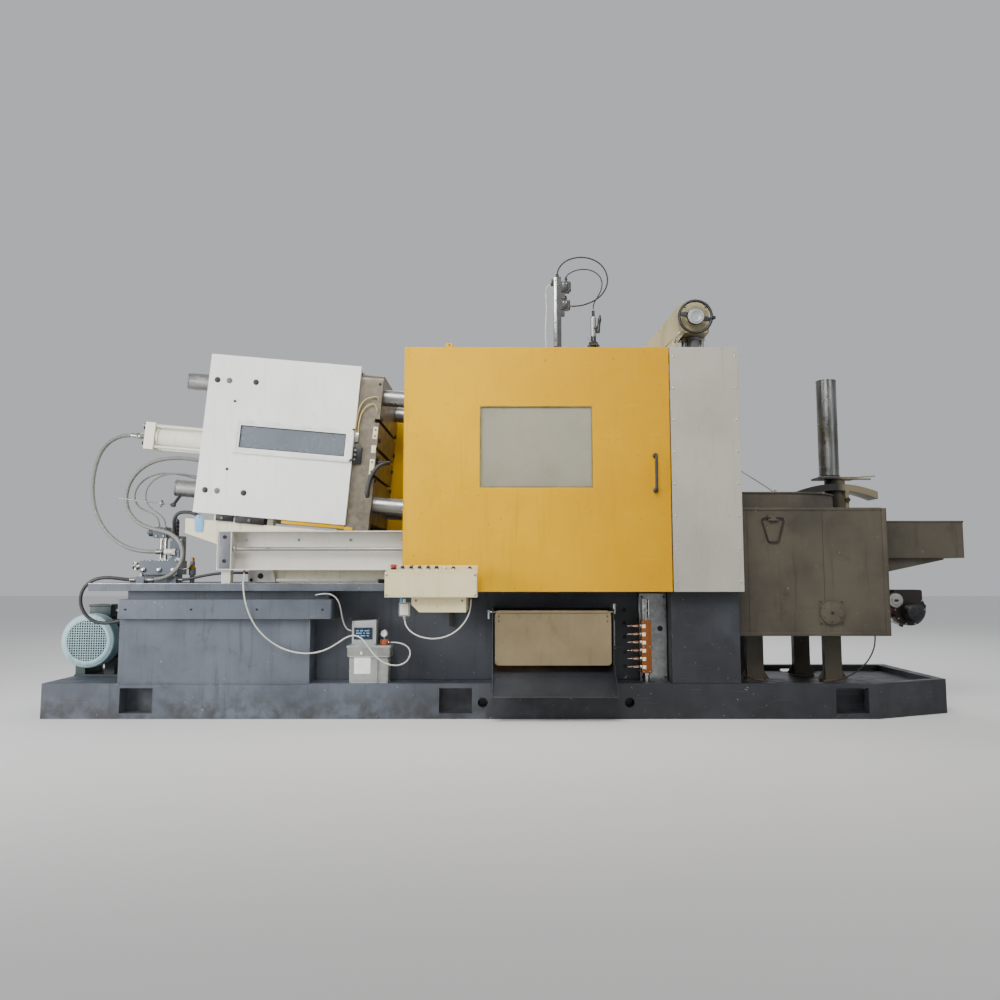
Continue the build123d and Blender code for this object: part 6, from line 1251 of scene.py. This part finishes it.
# Pump motor: the fan cover's grille of square holes, its rolled rim and screws, and a terminal box
fanTrim = {"x": -2.683, "y": -0.3, "z": 0.445, "radius": 0.132, "holes": 17, "bar": 0.0042}
# a black disc behind the grille: painted shade inside the fan cover
disc(0.138, 0.0008, (fanTrim["x"], fanTrim["y"], fanTrim["z"]), toFront, 64, 1)
part = bmesh.new()
bmesh.ops.create_grid(part, x_segments=fanTrim["holes"], y_segments=fanTrim["holes"],
    size=fanTrim["radius"])
outside = [face for face in part.faces if face.calc_center_median().length > fanTrim["radius"] * 0.99]
bmesh.ops.delete(part, geom=outside, context="FACES")
cells = list(part.faces)
bmesh.ops.inset_individual(part, faces=cells, thickness=fanTrim["bar"] / 2, use_even_offset=True)
bmesh.ops.delete(part, geom=cells, context="FACES")
raised(part, 0.003)
addTo(part, onFront(fanTrim["x"], fanTrim["y"] - 0.0012, fanTrim["z"]), 0)
turned(((0.0005, 0.128), (0.0045, 0.128), (0.0075, 0.136), (0.0065, 0.149), (0.002, 0.156), (0.0, 0.158),
    (0.0005, 0.128)), (fanTrim["x"], fanTrim["y"], fanTrim["z"]), toFront, 72)
fanRim = Vector((fanTrim["x"], -0.215, fanTrim["z"]))
for place in around(fanRim, 0.1725, 4, 0.5):
    screw(place, place - fanRim, 0.006, 2)
finished("fanGrille", ["fanMint", "paintedShadeBlack", "nickelFitting"])
block((-2.755, -0.12, 0.59), (-2.611, 0.05, 0.665), 0, 0.008)
block((-2.76, -0.125, 0.658), (-2.606, 0.055, 0.672), 0, 0.004)
for x in (-2.748, -2.618):
    for y in (-0.113, 0.043):
        screw((x, y, 0.672), upward, 0.005, 1)
turned(((0, 0.016), (0.012, 0.016), (0.02, 0.011), (0.026, 0.011)), (-2.611, -0.035, 0.625), toRight, 6, 1)
for x, y in ((-2.79, -0.14), (-2.576, -0.14), (-2.79, 0.1), (-2.576, 0.1)):
    bolt((x, y, 0.248), upward, 0.01, 1)
finished("motorBox", ["motorTeal", "nickelFitting"])

# Oil tank and drip tray: weld beads, a bright worn lip, lid bolts and the filler cap
trayFront = -0.67
block((-2.533, trayFront - 0.0015, 0.8135), (-0.721, trayFront + 0.003, 0.8185), 0, 0.0012)
block((-2.5345, -0.668, 0.8135), (-2.53, 0.618, 0.8185), 0, 0.0012)
finished("trayWornLip", ["wornSteel"])
for x0, z0, x1, z1 in ((-2.349, 0.6015, -1.187, 0.6015), (-2.349, 0.2125, -1.187, 0.2125),
        (-1.184, 0.214, -1.184, 0.6)):
    rod((x0, -0.6215, z0), (x1, -0.6215, z1), 0.004, 0, 10)
finished("tankWelds", ["bedPaint"])
for x in (-2.3, -2.0, -1.7, -1.4, -1.1):
    bolt((x, 0.6, 0.72), upward, 0.008)
for x in (-2.3, -1.9, -1.5, -1.1):
    screw((x, -0.67, 0.66), toFront)
finished("lidBolts", ["darkCasting"])
turned(((0, 0.052), (0.006, 0.052), (0.008, 0.046), (0.03, 0.046), (0.03, 0.056), (0.034, 0.058),
    (0.052, 0.058), (0.058, 0.05), (0.06, 0)), (-1.3, 0.45, 0.817), upward, 48)
for place in around((-1.3, 0.45, 0.849), 0.0575, 12, flat=True):
    rod(place, place + Vector((0, 0, 0.018)), 0.003, 0, 8, 0.0006)
turned(((0, 0.028), (0.01, 0.028), (0.014, 0.022)), (-1.05, 0.5, 0.817), upward, 6, 1)
finished("fillerCap", ["darkCasting", "nickelFitting"])
# level gauge on the back of the tank and a drain plug low on its left end
block((-1.9, 0.62, 0.3), (-1.86, 0.632, 0.5), 0, 0.004)
block((-1.892, 0.631, 0.325), (-1.868, 0.6345, 0.475), 1)
for z in (0.312, 0.488):
    screw((-1.88, 0.632, z), toBack, 0.007, 2)
disc(0.03, 0.008, (-2.35, 0.38, 0.27), toLeft, 32, 2)
turned(((0.008, 0.019), (0.024, 0.019), (0.026, 0.016)), (-2.35, 0.38, 0.27), toLeft, 6, 2)
finished("tankGauge", ["blackEnamel", "sightPane", "nickelFitting"])
print("tank and motor finished")


# Edges of the carried-over parts: joined, then slightly rounded
edged = {
    0.0015: ["drip_tray", "chute", "door_rail", "ingot_tray"],
    0.002: ["guard_frame", "lubricator", "manifold_plate", "coolant_manifold", "chute_flap", "damper",
            "spray_mast", "pump_motor"],
    0.0025: ["rear_guard", "valve_block"],
    0.003: ["door_panel", "fixed_panel", "operator_panel", "toggle_cover", "clamp_frame", "clamp_cylinder",
            "furnace_legs", "flue_arch", "moving_platen", "rear_platen", "fixed_platen"],
    0.004: ["bed_plinth", "oil_tank", "machine_bed", "bed_column", "injection_arm", "furnace_body",
            "burner"],
}
for width, names in edged.items():
    for name in names:
        joined = nodes[name].modifiers.new("joined", "WELD")
        joined.merge_threshold = 0.00002
        rounded = nodes[name].modifiers.new("rounded", "BEVEL")
        rounded.width = width
        rounded.segments = 2
        rounded.limit_method = "ANGLE"
        rounded.angle_limit = math.radians(40)
        rounded.use_clamp_overlap = True
print("edges rounded")

# Floor and studio light
bmesh.ops.create_grid(shape, x_segments=1, y_segments=1, size=30)
floorData = bpy.data.meshes.new("floor")
shape.to_mesh(floorData)
shape.free()
floor = bpy.data.objects.new("floor", floorData)
bpy.context.scene.collection.objects.link(floor)
floorPaint, floorTree, floorShader = newShader("floorPaint")
floorShader.inputs["Base Color"].default_value = rgb(232, 232, 230)
floorShader.inputs["Roughness"].default_value = 0.8
floorData.materials.append(floorPaint)

world = bpy.data.worlds.new("studio")
world.use_nodes = True
world.node_tree.nodes["Background"].inputs["Color"].default_value = rgb(238, 240, 244)
world.node_tree.nodes["Background"].inputs["Strength"].default_value = 0.6
bpy.context.scene.world = world
lamps = {
    "keyLamp": {"place": (-5.4, -3.9, 1.9), "aim": (-2.5, -0.4, 1.0), "size": 2.6, "power": 150.0,
                "spread": 120, "colour": (0.99, 0.99, 1.0)},
    "topLamp": {"place": (-0.4, -4.6, 5.2), "aim": (0.4, -0.4, 1.75), "size": 3.2, "power": 80.0,
                "spread": 70, "colour": (1.0, 0.985, 0.95)},
    "fillLamp": {"place": (5.5, -5.5, 3.5), "aim": (1.6, 0, 1.4), "size": 3.5, "power": 25.0,
                 "spread": 120, "colour": (1.0, 0.98, 0.94)},
    "backLamp": {"place": (1.0, 6.0, 6.5), "aim": (0, 0, 1.2), "size": 5.0, "power": 260.0,
                 "spread": 180, "colour": (1.0, 1.0, 1.0)},
}
for name, lamp in lamps.items():
    data = bpy.data.lights.new(name, "AREA")
    data.size = lamp["size"]
    data.energy = lamp["power"]
    data.spread = math.radians(lamp["spread"])
    data.color = lamp["colour"]
    holder = bpy.data.objects.new(name, data)
    holder.location = lamp["place"]
    aim = Vector(lamp["aim"]) - holder.location
    holder.rotation_euler = aim.to_track_quat("-Z", "Y").to_euler()
    bpy.context.scene.collection.objects.link(holder)
print("stage set")
